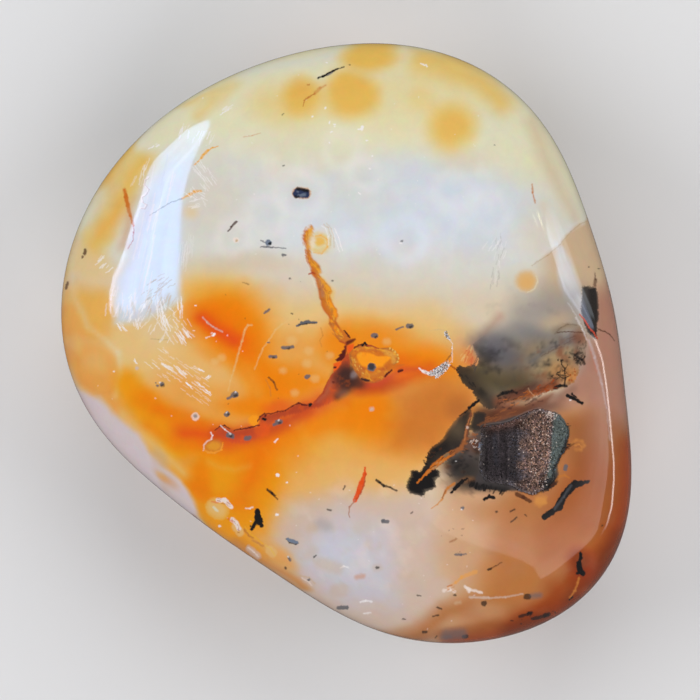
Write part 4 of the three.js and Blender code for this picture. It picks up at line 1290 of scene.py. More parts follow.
def inclusion_marks():
    """Mossy trees and threads in the upper sheet, and the orange vein that runs through the arm."""
    draw([
        ("ink", 0.9, 0.9, 499.6, 396.4, 2, 504.4, 393.4, 3.6, 509, 393, 3),
        ("ink", 0.9, 0.9, 509, 393, 3, 513, 391.6, 3.8, 518, 393.4, 1.2),
        ("umber", 0.7, 0.8, 558.4, 332.8, 0.8, 570, 332, 1.1, 583.6, 333, 0.8),
        ("umber", 1, 0.4, 556, 334, 0.8, 562, 328, 1.2, 569, 324.4, 1, 578, 325.4, 0.7),
        ("ink", 0.7, 0.9, 566, 386, 2.4, 566.4, 378, 1.4, 566, 368, 1.1),
        ("ink", 0.7, 0.9, 566, 370, 1.3, 563, 365, 1, 562.4, 360, 1.2),
        ("ink", 0.7, 0.8, 566.4, 369, 0.9, 569, 365, 0.8),
        ("ink", 0.7, 0.85, 566, 380, 1.4, 560, 376, 1.1, 557, 375, 0.9),
        ("ink", 0.9, 0.95, 556, 388.4, 3, 561, 386, 4, 567.6, 386.4, 2),
    ])
    for row in [
        ("ink", 564, 375, 11, 8, 0, 40, 22, 4, 1.1, 51, 0.8),
        ("ink", 553, 376.6, 8, 5, 0, 40, 9, 3, 0.9, 52, 0.6),
        ("ink", 561.6, 361.6, 5, 4, 0, 50, 7, 2.4, 1, 53, 0.8),
        ("ink", 581, 358, 13, 10, 60, 40, 26, 3.4, 1.2, 54, 0.7),
        ("ink", 582.5, 347, 12, 10, 60, 40, 14, 3, 1.1, 55, 0.5),
        ("ink", 574, 358.6, 12, 5, 10, 60, 8, 1.6, 1.2, 56, 0.8),
    ]:
        scratches(*row)
    draw([
        ("ink", 1.2, 0.6, 571, 353, 1.2, 576, 355.4, 2.6, 583, 353, 2.4),
        ("ink", 1, 0.8, 577, 356, 2, 583, 360, 3.4, 585.6, 364, 2),
    ])
    for row in [
        ("slate", 552, 349, 44, 8, 26, 8, 16, 10, 1, 74, 0.2),
        ("umber", 560, 346, 34, 6, 24, 10, 10, 8, 0.9, 75, 0.35),
        ("crimson", 471, 356, 16, 11, 62, 14, 12, 7, 1.1, 76, 0.45),
        ("peach", 467, 352, 16, 9, 62, 14, 9, 6, 1, 77, 0.5),
        ("ink", 504, 402, 30, 9, 12, 50, 14, 4, 1.6, 78, 0.5),
        ("rust", 546, 388, 22, 8, 20, 30, 12, 4, 1.6, 79, 0.7),
        ("cocoa", 524, 404, 40, 9, 18, 24, 16, 6, 1.8, 80, 0.6),
    ]:
        scratches(*row)
    specks("rust", (570, 368, 579, 384), 7, 1.3, 57, 0.7)
    for row in [
        ("umber", 530, 391, 44, 10, 20, 14, 18, 8, 1, 58, 0.5),
        ("bronze", 528, 396, 44, 8, 20, 16, 16, 7, 0.9, 59, 0.5),
    ]:
        scratches(*row)
    draw([
        ("tan", 0.7, 0.6, 529.6, 388.8, 0.8, 532, 393, 0.8, 535.6, 396, 0.8),
    ])
    for row in [
        ("ink", 466, 377, 24, 5, -50, 14, 9, 5, 1.2, 60, 0.6),
        ("graphite", 477, 364, 12, 5, 60, 14, 9, 5, 1, 61, 0.6),
    ]:
        scratches(*row)
    draw([
        ("rust", 0.8, 0.8, 452, 366, 1.2, 456, 369, 2.4),
        ("bronze", 0.8, 0.95, 418.7, 483, 1, 426.7, 474.6, 2.4, 434, 467.4, 4),
        ("bronze", 1, 0.9, 434, 467.4, 5, 444, 459.4, 6, 453, 453.6, 5),
        ("russet", 1.2, 0.9, 453, 453.6, 4.6, 462, 448.6, 4.6, 466.8, 439, 3.6),
        ("toffee", 1, 0.9, 466.8, 439, 4, 468.6, 427, 3, 472.4, 414, 1.6),
        ("caramel", 0.8, 0.8, 465.6, 440, 1.6, 467.8, 428, 1.2, 471, 418, 0.8),
        ("sienna", 0.8, 0.9, 428, 474, 1.2, 436, 467, 1.6, 445, 460.6, 1.6),
    ])
    for row in [
        ("umber", 443, 460.6, 30, 4, 38, 8, 11, 7, 0.9, 62, 0.7),
        ("khaki", 438, 465, 16, 3, 38, 8, 5, 4, 0.8, 63, 0.7),
    ]:
        scratches(*row)
    draw([
        ("reed", 1.2, 0.8, 447.6, 455.4, 6, 3, 30), ("blush", 0.8, 0.8, 468.6, 427.8, 2.6, 3),
    ])
    for row in [
        ("ink", 432, 455, 6, 22, -40, 20, 14, 3.4, 1.3, 64, 0.8),
        ("umber", 436, 452, 14, 6, 30, 20, 8, 3, 1, 65, 0.6),
    ]:
        scratches(*row)
    draw([
        ("ink", 0.8, 0.9, 461, 416, 1.2, 466, 412.6, 1.8, 471.6, 408.4, 1.4),
    ])
    for row in [
        ("russet", 470, 444, 10, 24, -20, 30, 16, 5, 1.1, 66, 0.6),
        # Painted glints: rose-white and steel scratches for the sparkling crust spot at the pocket's left.
        ("rose_white", 479, 446, 8, 18, 60, 40, 20, 2.4, 1, 67, 0.6),
        ("steel", 482.4, 446, 10, 5, 75, 20, 10, 4, 1.2, 68, 0.8),
        ("ink", 458, 467, 20, 18, 20, 60, 12, 7, 2.4, 69, 0.35),
        ("ink", 488, 488.6, 5, 34, 80, 24, 18, 6, 1.8, 70, 0.85),
        ("ink", 474, 485, 6, 12, 60, 30, 8, 5, 1.6, 71, 0.7),
        ("ink", 568.4, 436, 5, 26, 0, 30, 14, 3.4, 1.3, 72, 0.8),
        ("russet", 500, 416, 40, 7, 24, 10, 16, 8, 1, 73, 0.5),
    ]:
        scratches(*row)


def pale_curves():
    """Thin pale fronts where the orange advanced, soft pink blobs, white specks, and a few painted glints."""
    draw([
        ("peach", 1, 0.6, 253, 325.4, 1.2, 249, 325.6, 1.8, 246, 330, 1.8, 243, 342, 1.6),
        ("peach", 1, 0.6, 243, 342, 1.5, 239.5, 354, 1.4, 235, 371, 1.2),
        ("peach", 1, 0.5, 235, 371, 1.3, 231.5, 381, 1.2, 229.6, 391, 1),
        ("peach", 1, 0.5, 290, 321, 1, 283, 325, 1.6, 277, 330, 1.5, 270, 341, 1.3),
        ("peach", 1, 0.5, 270, 341, 1.3, 264, 349, 1.4, 260, 358, 1.4, 256, 369, 1),
        ("blush", 0.9, 0.7, 204, 317.6, 0.9, 208, 322.4, 1.8, 214, 327, 1.8, 223.6, 332, 0.9),
        # Painted glints: the rose-white dots by the hot spot.
        ("rose_white", 0.7, 0.8, 207, 338.6, 0.9, 211, 336.6, 1.1),
        ("rose_white", 0.8, 0.9, 214.6, 335, 4.4, 1.8, 40), ("rose_white", 0.8, 0.8, 213, 333.4, 2, 1.4),
    ])
    for x, y, size in [(293, 341, 10), (310, 351, 9), (308, 364, 9), (296, 393, 8), (316, 379, 9), (388, 342,
                                                                                                    8),
                       (301, 330, 7), (331, 356, 8), (284, 371, 7), (223, 358, 8), (216, 362, 7)]:
        bar("peach", x, y, size, size * 0.85, 0, 2.5, 0.4)
    draw([
        ("orange", 6, 0.3, 372.4, 408.6, 22, 22), ("blush", 1.4, 0.8, 373, 409.4, 4.6, 4),
        ("cream", 3, 0.25, 524, 277, 30, 28), ("cream", 1.2, 0.35, 527.6, 281, 25, 24.6),
        ("amber", 4.5, 0.5, 527.6, 281.4, 21, 20.6), ("honey", 4, 0.45, 527.6, 281.4, 19, 18.6),
        ("apricot", 5, 0.35, 528, 282.6, 13, 12),
        ("cream", 0.7, 0.6, 537.4, 276, 1, 539, 282, 1, 536, 289, 1, 529, 292.6, 1),
    ])
    for x, y, length, width, turn in [
        (363.2, 128.4, 5.4, 3, 75), (361, 129.6, 4, 1.6, 5), (330.7, 122.8, 3.2, 1.3, 80), (335.6, 124.6,
                                                                                            2.2, 1.3, 0),
        (326.6, 108.4, 2.2, 1.5, 40), (332.6, 132.4, 2.4, 1.2, 30), (331, 142.7, 1.8, 1.2, 0), (368, 140.8,
                                                                                                2.4, 1.6, 0),
        (373.4, 156.2, 2, 1.6, 0), (370.8, 169, 2.4, 1.6, -30), (360.5, 193.8, 3.4, 1.5, -35), (313.6, 117,
                                                                                                1.8, 1.2, 0),
        (424, 64.8, 6, 1.2, -20), (428, 66, 3.4, 1.3, -60), (328, 63, 2, 1.2, 0), (336, 126.6, 1.6, 1, 0),
        (215, 335, 3, 1.6, 60), (197, 306, 2, 1.2, 0), (195, 331, 1.6, 1.1, 0), (115, 372, 1.8, 1.4, 0),
        (278.8, 475.4, 4, 3.4, 0), (278.4, 514.8, 3.4, 2.6, 0), (288, 483, 2, 1.6, 0), (220.6, 526.4, 3, 2,
                                                                                        30),
        # The first frost bar on the next line, at the pocket's left edge, is a painted glint.
        (482.6, 448.6, 3.6, 1.5, 70), (457.4, 461.6, 1.6, 1.2, 0),
    ]:
        bar("frost", x, y, length, width, turn, 0.7, 0.9)
    for row in [
        ("frost", (200, 60, 480, 260), 34, 1, 21, 0.45), ("frost", (90, 330, 300, 560), 26, 1, 22, 0.4),
        ("frost", (300, 480, 480, 630), 26, 1, 23, 0.35), ("umber", (200, 250, 340, 420), 10, 1.2, 24, 0.4),
    ]:
        specks(*row)


def scuff_highlights():
    """Painted highlights: brush-like strokes round the tall reflection, where the polish is scratched and
    catches the light.
    """
    for row in [
        ("frost", 206, 174, 24, 12, -52, 8, 15, 11, 0.8, 1, 0.6),
        ("frost", 201, 196, 20, 20, -55, 28, 16, 8, 0.8, 2, 0.6),
        ("frost", 196, 202, 8, 14, 20, 14, 6, 8, 0.9, 3, 0.6),
        ("frost", 188, 253, 22, 15, 82, 4, 12, 18, 0.6, 4, 0.4),
        ("frost", 197, 136, 14, 34, 70, 10, 20, 9, 0.9, 5, 0.7),
        ("frost", 143, 173, 22, 12, 72, 8, 12, 10, 0.7, 6, 0.5),
        ("frost", 106, 264, 8, 16, 42, 8, 8, 8, 1, 7, 0.7),
        ("frost", 229, 109, 14, 4, 32, 6, 6, 9, 1.2, 8, 0.7),
        ("frost", 156, 147, 8, 3, 30, 10, 4, 5, 1.1, 9, 0.8),
        ("frost", 182, 376, 76, 26, -36, 5, 46, 9, 0.6, 10, 0.45),
        ("frost", 150, 316, 30, 60, 62, 14, 34, 9, 0.8, 11, 0.5),
        ("frost", 176, 326, 40, 26, -48, 14, 26, 8, 0.8, 14, 0.55),
        ("khaki", 158, 288, 34, 16, 34, 10, 22, 9, 0.9, 15, 0.5),
        ("sand", 164, 306, 26, 24, 66, 14, 26, 10, 1, 17, 0.5),
        ("rose_white", 150, 236, 120, 26, 77, 3, 22, 34, 1.3, 18, 0.35),
        ("pearl", 156, 230, 130, 30, 78, 3, 14, 30, 1, 19, 0.3),
        ("rose_white", 128, 304, 22, 40, 80, 12, 20, 12, 1.4, 16, 0.5),
    ]:
        scratches(*row)
    for x0, y0, x1, y1, width in [
        (119, 323, 126, 331, 4), (137, 319, 139, 328, 5), (160.5, 298, 163, 316, 7), (163, 312, 168, 330, 5),
        (180, 297, 181.4, 318, 4), (178, 331, 187.4, 346, 4), (183, 327, 190, 338, 3), (134.6, 359.4, 138,
                                                                                        364, 2),
        (160.5, 362.6, 178.5, 373, 2), (177, 367, 189, 377.6, 3), (195, 382, 204, 388, 3), (133, 312, 129,
                                                                                            322, 3),
        (204, 389.6, 214.6, 397, 2), (186, 382, 193.6, 388, 2), (195, 367, 204, 371.6, 2), (206, 380, 211,
                                                                                            376.4, 2),
        (150, 298, 141, 312, 4),
    ]:
        length = math.hypot(x1 - x0, y1 - y0)
        way = math.degrees(math.atan2(y0 - y1, x1 - x0))
        scratches("frost", (x0 + x1) / 2, (y0 + y1) / 2, length * 0.7, width * 1.3, way, 6,
                  round(3 + width * 1.4),
                  length * 0.6, 0.85, round(x0), 0.75)
    draw([
        ("blush", 0.8, 0.9, 138, 368.4, 4, 4),
    ])
    loops = [(149.6, 177), (146, 180), (145, 185), (149, 189), (147, 194), (143, 197), (143, 202),
             (147.4, 205),
             (145, 208.6), (141, 208)]
    stroke("rose_white", loops, 1.1, 0.7, 0.8)
    stroke("clay", [(x + 1.2, y + 0.6) for x, y in loops], 0.7, 0.6, 0.45)
    for row in [
        ("smoke", 499, 262, 54, 9, 83, 14, 14, 9, 0.9, 12, 0.3),
        ("frost", 500, 260, 50, 10, 80, 20, 14, 7, 0.8, 13, 0.4),
        ("frost", 494, 244, 16, 10, 50, 10, 8, 9, 0.8, 20, 0.5),
    ]:
        scratches(*row)
    draw([
        ("khaki", 0.7, 0.45, 533, 266, 0.8, 541, 260.4, 1, 549, 255.6, 1, 561, 245, 1, 572, 232, 1, 581,
         224.6, 1, 588, 221.4, 0.8),
    ])


def shells():
    """The small shell-like forms at the lower left rim: pale ovals in amber, with frosty upper edges."""
    draw([
        ("honey", 1.4, 0.55, 218.5, 509, 25, 20, -35), ("peach", 3, 0.6, 217.6, 509.4, 19, 13, -35),
        ("cream", 1, 0.9, 214.6, 507.2, 1.4, 216.6, 509.6, 2.6, 219, 511.4, 1.4),
        ("peach", 1.6, 0.7, 239, 530, 15, 8, -50), ("blush", 1.4, 0.7, 254.6, 552.6, 18, 6.5, -40),
        ("rose_white", 0.8, 0.7, 250, 548, 1, 255, 552.4, 1.8, 259.6, 557, 1),
        ("peach", 1.4, 0.55, 272.4, 552, 13, 9, -45),
        ("honey", 0.8, 0.8, 267, 546, 1.2, 272, 549, 1.4, 276.4, 556, 1),
        ("sienna", 0.9, 0.8, 245.6, 530, 1.4, 250, 535.6, 3, 254, 537.6, 2),
        ("gold", 0.9, 0.8, 246, 527, 1, 251, 534, 1.8, 257, 538, 2, 264, 544, 1.4),
        ("amber", 0.9, 0.8, 254, 541, 1.6, 259, 543, 3, 264, 546.6, 1.6),
    ])
    for x0, y0, x1, y1 in [(219, 500.4, 226, 500.6), (226, 500.6, 232, 507), (233.4, 520, 237, 523),
                           (237, 523, 240, 529)]:
        stroke("rose_white", [(x0, y0), (x1, y1)], 4.4, 0.8, 0.95)
    for row in [
        ("brick", 226, 503, 14, 3, -25, 25, 8, 3, 0.8, 31, 0.7),
        ("brick", 237, 525, 12, 3, -60, 25, 7, 3, 0.8, 32, 0.7),
    ]:
        scratches(*row)
    draw([
        ("rose_white", 0.8, 0.85, 247, 508.8, 1, 251, 508.6, 1.6, 254, 507.4, 1.4),
        ("sienna", 0.8, 0.8, 239.4, 532.6, 2.4, 1.6), ("ember", 1, 0.6, 213, 502, 1, 219, 503, 1.6),
        ("ember", 1, 0.6, 229, 519, 1, 234, 522, 1.6), ("blush", 1.6, 0.5, 310, 582, 16, 6, -35),
        ("rose_white", 0.8, 0.6, 304, 579, 0.9, 309, 581.6, 1.4, 313, 585.6, 0.9),
        ("sand", 0.8, 0.6, 301, 576, 0.8, 310, 577.6, 1.2, 316, 584, 0.8),
    ])


def lower_right_marks():
    """The pink patch below the veil, a pale wedge there that is a painted reflection, and two small curls."""
    draw([
        ("blush", 5, 0.55, 442, 588, 22, 17, 10),
        ("rose_white", 1, 0.7, 445, 591, 2.4, 451, 589.6, 4, 456, 592, 2),
    ])
    scratches("amber", 450, 590, 12, 6, 10, 40, 8, 4, 0.8, 41, 0.6)
    draw([
        ("apricot", 1.2, 0.6, 449, 587.6, 1.6, 457, 583, 2.4, 463, 577.6, 3, 477, 572, 5),
        ("brick", 0.8, 0.6, 448.6, 587, 1, 453, 585.4, 1.2),
        # Painted reflection: the pale wedge.
        ("rose_white", 0.9, 0.75, 466, 586.6, 1.2, 471, 590, 4, 483, 592.8, 1),
        ("rose_white", 0.9, 0.75, 468, 588, 2, 470, 592, 3),
        ("blush", 1, 0.7, 471, 597.6, 3.4, 490, 598.2, 1.6, 507, 597.6, 1.3, 524, 594, 1),
        ("sand", 1.4, 0.5, 459, 603, 8, 3, 10),
        ("amber", 1.8, 0.4, 536, 497, 3, 541, 493.6, 3, 547, 497, 3, 546.6, 503, 3, 541, 506.4, 3, 536,
         503.6, 3), ("apricot", 2.4, 0.5, 541.6, 501, 11, 8),
        ("umber", 0.9, 0.85, 564, 453, 2.6, 567.6, 448, 3.4, 575, 444, 1.4),
        ("amber", 1.8, 0.45, 573, 444, 3, 577, 440.6, 3, 583, 441.6, 3, 585.6, 446, 3, 582, 450, 3, 577,
         449.6, 3), ("amber", 0.9, 0.7, 576, 446, 1.6, 580, 444.6, 1.6, 583, 447, 1.6),
        ("sienna", 1, 0.7, 557, 481.6, 1.6, 561, 476.4, 2.2, 566, 475.6, 2.2, 570, 478, 1.2),
        ("umber", 1.2, 0.7, 553, 486, 3, 558, 482, 2),
    ])


# %% [markdown]
# ## From painting to skin
# The points carry the broad clouds and the distances, and the faces carry their nearest marks. All of it is
# numbers on the mesh, so the finish follows the stone wherever it goes. Painted straight down, the rim's
# colours would run in stripes, so below the crown the pixels bend away in swirls before they are painted.

# %% Paint the skin
LAYERS = 6
SLICES = 60
SLANT = np.array([[0.80, -0.48, 0.36], [0.60, 0.64, -0.48], [0.0, 0.60, 0.80]])
BACK_BEND = 9
SWIRL_REACH = 110
SWIRL_FALL = (-7.5, 4)
VEIL_FALL = (-4, 5)
NO_NIGHT = 99


def paint_back(c, place, depth):
    """The back goes on from the rim's colours, and pale, honey and rust veils cross it where it is deep."""
    bend = np.stack([mist(place, 9.0, 96), mist(place, 8.0, 97), mist(place, 10.0, 98)], axis=1)
    place = (place + BACK_BEND * bend) @ SLANT
    c = wisps(c, place, "milk", depth, 8.0, 91, 0.7)
    c = wisps(c, place, "honey", depth, 6.0, 92, 0.6)
    c = wisps(c, place, "orange", depth, 7.0, 93, 0.7)
    c = wisps(c, place, "rust", depth, 4.0, 94, 0.4)
    fronts = np.sin(0.9 * place[:, 0] + 0.5 * place[:, 1])
    return lay(c, "cream", depth * smooth(0.7, 1.0, fronts), 0.3)


crown_side = on_crown[:, None]
fall = rim_under[:, 2] - points[:, 2]
swirl = np.stack([mist(points, 11.0, 101), mist(points, 9.0, 102)], axis=1)
bent = seen + SWIRL_REACH * smooth(*SWIRL_FALL, fall)[:, None] * swirl
clouds = paint_back(paint_clouds(bent, points), points, smooth(*VEIL_FALL, fall))
clouds = np.where(crown_side, paint_cracks(clouds, seen, points), clouds)
# The shade colours are the inclusions' own colours, and painted shade in the open pocket.
shade = paint_shade(seen, points, clouds)
opaque = np.ones((len(clouds), 1))
store(stone.data, "clouds", "FLOAT_COLOR", "POINT", np.hstack([straightened(clouds), opaque]), "color")
store(stone.data, "shade", "FLOAT_COLOR", "POINT", np.hstack([straightened(shade), opaque]), "color")
seen_up = np.stack([seen[:, 0], PICTURE - seen[:, 1], on_crown.astype(float)], axis=1)
store(stone.data, "seen", "FLOAT_VECTOR", "POINT", seen_up, "vector")
gap = np.where(on_crown, night_gap(seen), NO_NIGHT)
store(stone.data, "night", "FLOAT_VECTOR", "POINT", np.stack([gap, gap, gap], axis=1), "vector")


def nearest_marks(at, marks):
    """For each place, the numbers of its nearest bars, in drawing order. Slices keep the tables small."""
    x, y, turn, half, radius = marks[:, :5].T
    found = []
    for piece in np.array_split(at, SLICES):
        dx = piece[:, :1] - x
        dy = y - piece[:, 1:]
        u = np.maximum(np.abs(dx * np.cos(turn) + dy * np.sin(turn)) - half, 0)
        v = dy * np.cos(turn) - dx * np.sin(turn)
        gap = np.hypot(u, v) - radius
        found.append(np.sort(np.argpartition(gap, LAYERS, axis=1)[:, :LAYERS], axis=1))
    return np.concatenate(found).T


def face_middles(values, sectors, rings):
    """The mean of the corners' values for each face, in the order in which ring_faces makes them."""
    grid = values[1:-1].reshape(rings, sectors, -1)
    after = np.roll(grid, -1, axis=1)
    top = (values[:1] + grid[0] + after[0]) / 3
    quads = (grid[:-1] + grid[1:] + after[:-1] + after[1:]) / 4
    foot = (values[-1:] + grid[-1] + after[-1]) / 3
    return np.concatenate([top, quads.reshape(-1, values.shape[1]), foot])


for drawing in (pale_curves, shells, grey_pits, threads, lower_right_marks, inclusion_marks,
                small_black_marks,
             bold_marks, crack_marks, scuff_highlights):
    drawing()
marks = np.array(MARKS)
face_seen = face_middles(seen, SECTORS, CROWN_RINGS + BACK_RINGS - 1)
nearest = nearest_marks(face_seen, marks)
for layer in range(LAYERS):
    mine = marks[nearest[layer]]
    place = np.stack([mine[:, 0], PICTURE - mine[:, 1], mine[:, 2]], axis=1)
    store(stone.data, f"mark place {layer}", "FLOAT_VECTOR", "FACE", place, "vector")
    store(stone.data, f"mark size {layer}", "FLOAT_VECTOR", "FACE", mine[:, 3:6], "vector")
    tint = np.hstack([straightened(mine[:, 6:9]), mine[:, 9:10]])
    store(stone.data, f"mark tint {layer}", "FLOAT_COLOR", "FACE", tint, "color")
print(len(marks), "marks")

# %% [markdown]
# ## The crystal crust
# The pocket is lined with quartz crystals a tenth of a millimetre across. Placing them one by one would be
# slow, and one texture would look flat. So one crystal is a formula, six sides and a six-sided point, and
# numpy makes some thousands of it at once: each gets a seat on the crust, a lean, a size and a tint.

# %% Crystals
CRYSTAL_SIDES = 6
NECK = {"height": 0.6, "radius": 0.92}
LEAN = 0.38
ROOT_DEPTH = 0.05


def crystals(seats, ups, radii, heights, spins):
    """Joined crystals: a ring at the root, a ring at 0.6 of the height, a point, and a closed root."""
    count = len(seats)
    side = np.cross(ups, [0.31, 0.95, 0.05])
    side /= np.linalg.norm(side, axis=1, keepdims=True)
    other = np.cross(ups, side)
    turn = spins[:, None] + 2 * np.pi * np.arange(CRYSTAL_SIDES) / CRYSTAL_SIDES
    ring = (np.cos(turn)[..., None] * side[:, None] + np.sin(turn)[..., None] * other[:, None]) * radii[:,
                                                                                                        None,
                                                                                                        None]
    root = seats[:, None] + ring
    neck = seats[:, None] + ring * NECK["radius"] + (ups * heights[:, None] * NECK["height"])[:, None]
    tip = (seats + ups * heights[:, None])[:, None]
    points = np.concatenate([root, neck, tip, seats[:, None]], axis=1)
    k = np.arange(CRYSTAL_SIDES)
    after = (k + 1) % CRYSTAL_SIDES
    sides = np.stack([k, after, after + CRYSTAL_SIDES, k + CRYSTAL_SIDES], axis=1)
    top = np.stack([k + CRYSTAL_SIDES, after + CRYSTAL_SIDES, np.full(CRYSTAL_SIDES, 2 * CRYSTAL_SIDES)],
                   axis=1)
    foot = np.stack([after, k, np.full(CRYSTAL_SIDES, 2 * CRYSTAL_SIDES + 1)], axis=1)
    first = (points.shape[1] * np.arange(count))[:, None, None]
    quads = (sides[None] + first).reshape(-1, 4).tolist()
    triangles = (np.concatenate([top, foot])[None] + first).reshape(-1, 3).tolist()
    return points.reshape(-1, 3), quads + triangles, points.shape[1]


def scattered(outline, spacing, random):
    """Pixels inside an outline: a grid of them, each moved at random by up to half a step."""
    corners = np.array(outline, float)
    low, high = corners.min(0), corners.max(0)
    x, y = np.meshgrid(np.arange(low[0], high[0], spacing), np.arange(low[1], high[1], spacing))
    at = np.stack([x.ravel(), y.ravel()], axis=1)
    at = at + random.uniform(-0.5, 0.5, at.shape) * spacing
    return at[patch_gap(at, outline) < -0.3]


DRUSE_OUTLINE = [
    (519, 419), (526, 415), (534, 412), (541, 411), (548, 412), (555, 414), (554, 424), (551, 436),
    (553, 442),
    (552, 461), (549, 477), (545, 488), (534, 494), (526, 491), (515, 486), (516, 470), (520, 455),
    (521, 440),
]


def crust_drop(at):
    """How far the crust's face lies below the polish: deep in the shadowed left, shallow on the right."""
    depth = pocket_drop(at, polish_point(at)[:, 0])
    return depth * (0.85 - 0.6 * smooth(500, 535, at[:, 0]))


def crust_colours_and_light(at, random):
    """Painted shade: heather with faint upright streaks where the pocket is in shadow; painted light: coffee
    where light falls; lichen on the slab; and painted glints.
    """
    count = len(at)
    colours = np.tile(TINTS["heather"], (count, 1))
    streaks = np.sin(at[:, 0] * 0.9 + 0.8 * np.sin(at[:, 1] * 0.05)) * np.sin(at[:, 0] * 0.37 + 2)
    colours = colours * (1 + 0.14 * streaks)[:, None]
    # Painted shade: graphite and night darken the shadowed left further, towards its left edge and its foot.
    colours = lay(colours, "graphite", band(at, [(517, 440), (516, 470), (518, 488)], 4, 4), 0.8)
    colours = lay(colours, "brown", patch(at, [(480, 408), (524, 408), (524, 426), (480, 438)], 6), 0.7)
    colours = lay(colours, "graphite", 1 - smooth(484, 496, at[:, 0]), 0.7)
    colours = lay(colours, "night", below(at, [(470, 480), (520, 484)], 6) * (1 - smooth(504, 514, at[:,
                                                                                                      0])),
                                                                                                      0.7)
    colours = lay(colours, "steel", band(at, [(497, 436), (499, 466)], 3, 3), 0.35)
    # Painted light: brown and mottled coffee where light falls on the right of the crust.
    mottle = 0.55 + 0.45 * np.sin(at[:, 0] * 0.55 + 3 * np.sin(at[:, 1] * 0.21)) * np.sin(at[:, 1] * 0.47 + 1)
    lit = patch(at, DRUSE_OUTLINE, 2.5) * smooth(512, 530, at[:, 0] + 5 * np.sin(at[:, 1] * 0.3) - 3)
    colours = lay(colours, "brown", lit, 0.5)
    colours = lay(colours, "coffee", lit * mottle, 0.85)
    slab = smooth(-1, 1, at[:, 0] - np.interp(at[:, 1], [411, 428, 452, 470, 487], [556, 554, 552.5, 550,
                                                                                    546]))
    colours = lay(colours, "lichen", slab)
    teeth = smooth(-1, 1, at[:, 0] - np.interp(at[:, 1], [411, 420, 428, 436, 449, 470], [558, 563, 568, 568,
                                                                                          564, 554]))
    colours = lay(colours, "ink", teeth, 0.7)
    colours = lay(colours, "night", blob(at, 552, 485, 8, 6, 0, 0.6), 0.9)
    value = random.normal(0, 1, count)
    colours = colours * (1 + (0.08 + 0.22 * lit) * value)[:, None]
    # Painted glints: rose-white crystals where light falls, thickest along the lit edges and in the top right
    # corner.
    edge = 1 - smooth(1, 4, -patch_gap(at, DRUSE_OUTLINE))
    chance = 0.004 + 0.035 * lit + 0.22 * edge * lit * smooth(530, 550, at[:, 0]) + 0.006 * slab
    corner = blob(at, 552, 416, 5, 4, 0, 0.5)
    glint = random.random(count) < chance + 0.7 * corner
    colours = lay(colours, "rose_white", glint * 1.0, 0.8)
    return np.clip(colours, 0.03, 1)


druse_material = bpy.data.materials.new("quartz druse")


def plant_crystals(name, outline, spacing, drop, tints, seed, reach=(0.07, 0.12), tall=(0.14, 0.32)):
    """Crystals over an outline, seated on the polish less a drop, leaning at random round straight up."""
    random = np.random.default_rng(seed)
    at = scattered(outline, spacing, random)
    seats = polish_point(at)
    seats[:, 2] -= drop(at) + ROOT_DEPTH
    ups = np.stack([random.normal(0, LEAN, len(at)), random.normal(0, LEAN, len(at)), np.ones(len(at))],
                   axis=1)
    ups /= np.linalg.norm(ups, axis=1, keepdims=True)
    radii = random.uniform(*reach, len(at))
    heights = random.uniform(*tall, len(at))
    vertices, polygons, each = crystals(seats, ups, radii, heights, random.uniform(0, 2 * np.pi, len(at)))
    piece = make_piece(name, vertices + SHIFT, polygons, druse_material, "druse", smooth_faces=False)
    colours = np.repeat(straightened(tints(at, random)), each, axis=0)
    store(piece.data, "tint", "FLOAT_COLOR", "POINT", np.hstack([colours, np.ones((len(colours), 1))]),
          "color")
    print(name, len(at), "crystals")
    return piece


crust = plant_crystals("crystal_crust", POCKET_MOUTH, 1.0, crust_drop, crust_colours_and_light, 7, reach=(0.055, 0.095),
                       tall=(0.1, 0.24))
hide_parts("quartz_crust")

# %% [markdown]
# A second, smaller growth of crystals fills the crescent-shaped pit, and it catches the light like silver.

# %% Silver crescent
CRESCENT_OUTLINE = [
    (447, 330.5), (449.3, 331.5), (450.5, 336), (452, 340.5), (453.8, 344), (453.9, 353), (454, 360),
    (453.6, 364.5),
    (448, 371.6), (443, 377.6), (438.6, 381.4), (436.4, 380.4), (435.8, 376), (430.6, 376), (425.6, 373.6),
    (420, 368.4), (424.4, 370.8), (430, 371.6), (437, 367.6), (444, 363.4), (449, 358.6), (452.6, 353.8),
    (453.2, 344.6), (451.4, 341), (449, 339.6), (446, 337), (444.8, 333),
]


def crescent_tints(at, random):
    """Mostly silver-white, with about three crystals in ten darkened to slate."""
    dark = (random.random(len(at)) < 0.3) * 1.0
    return lay(np.tile(TINTS["frost"], (len(at), 1)), "slate", dark, 0.8) * random.uniform(0.75, 1.05,
                                                                                           (len(at), 1))


crescent = plant_crystals("crescent_crystals", CRESCENT_OUTLINE, 0.8, lambda at: np.full(len(at), 0.06),
                          crescent_tints,
                          11, reach=(0.04, 0.07), tall=(0.06, 0.12))

# %% [markdown]
# ## The polish
# Polished chalcedony reflects like glass. Light also goes a little way into the real stone, but here the
# painted layers stand for that depth. So one Principled shader is enough: the painting is its base colour,
# it is nearly smooth, and its refractive index is that of quartz.

# %% Node helpers


def fresh_nodes(material):
    """An empty node tree with its output node."""
    material.use_nodes = True
    tree = material.node_tree
    tree.nodes.clear()
    output = tree.nodes.new("ShaderNodeOutputMaterial")
    return tree, output


def node(tree, kind, inputs=None, **settings):
    """A node with its settings, and its inputs linked or set."""
    made = tree.nodes.new(kind)
    for name, value in settings.items():
        setattr(made, name, value)
    for key, value in (inputs or {}).items():
        if isinstance(value, bpy.types.NodeSocket):
            tree.links.new(value, made.inputs[key])
        else:
            made.inputs[key].default_value = value
    return made


def attribute(tree, name):
    return node(tree, "ShaderNodeAttribute", attribute_name=name)


# %% [markdown]
# A mark is drawn by one small group: it turns the pixel into the bar's own directions, measures the distance
# to the bar, and lays the bar's tint over the colour below. The material places it once for each layer.

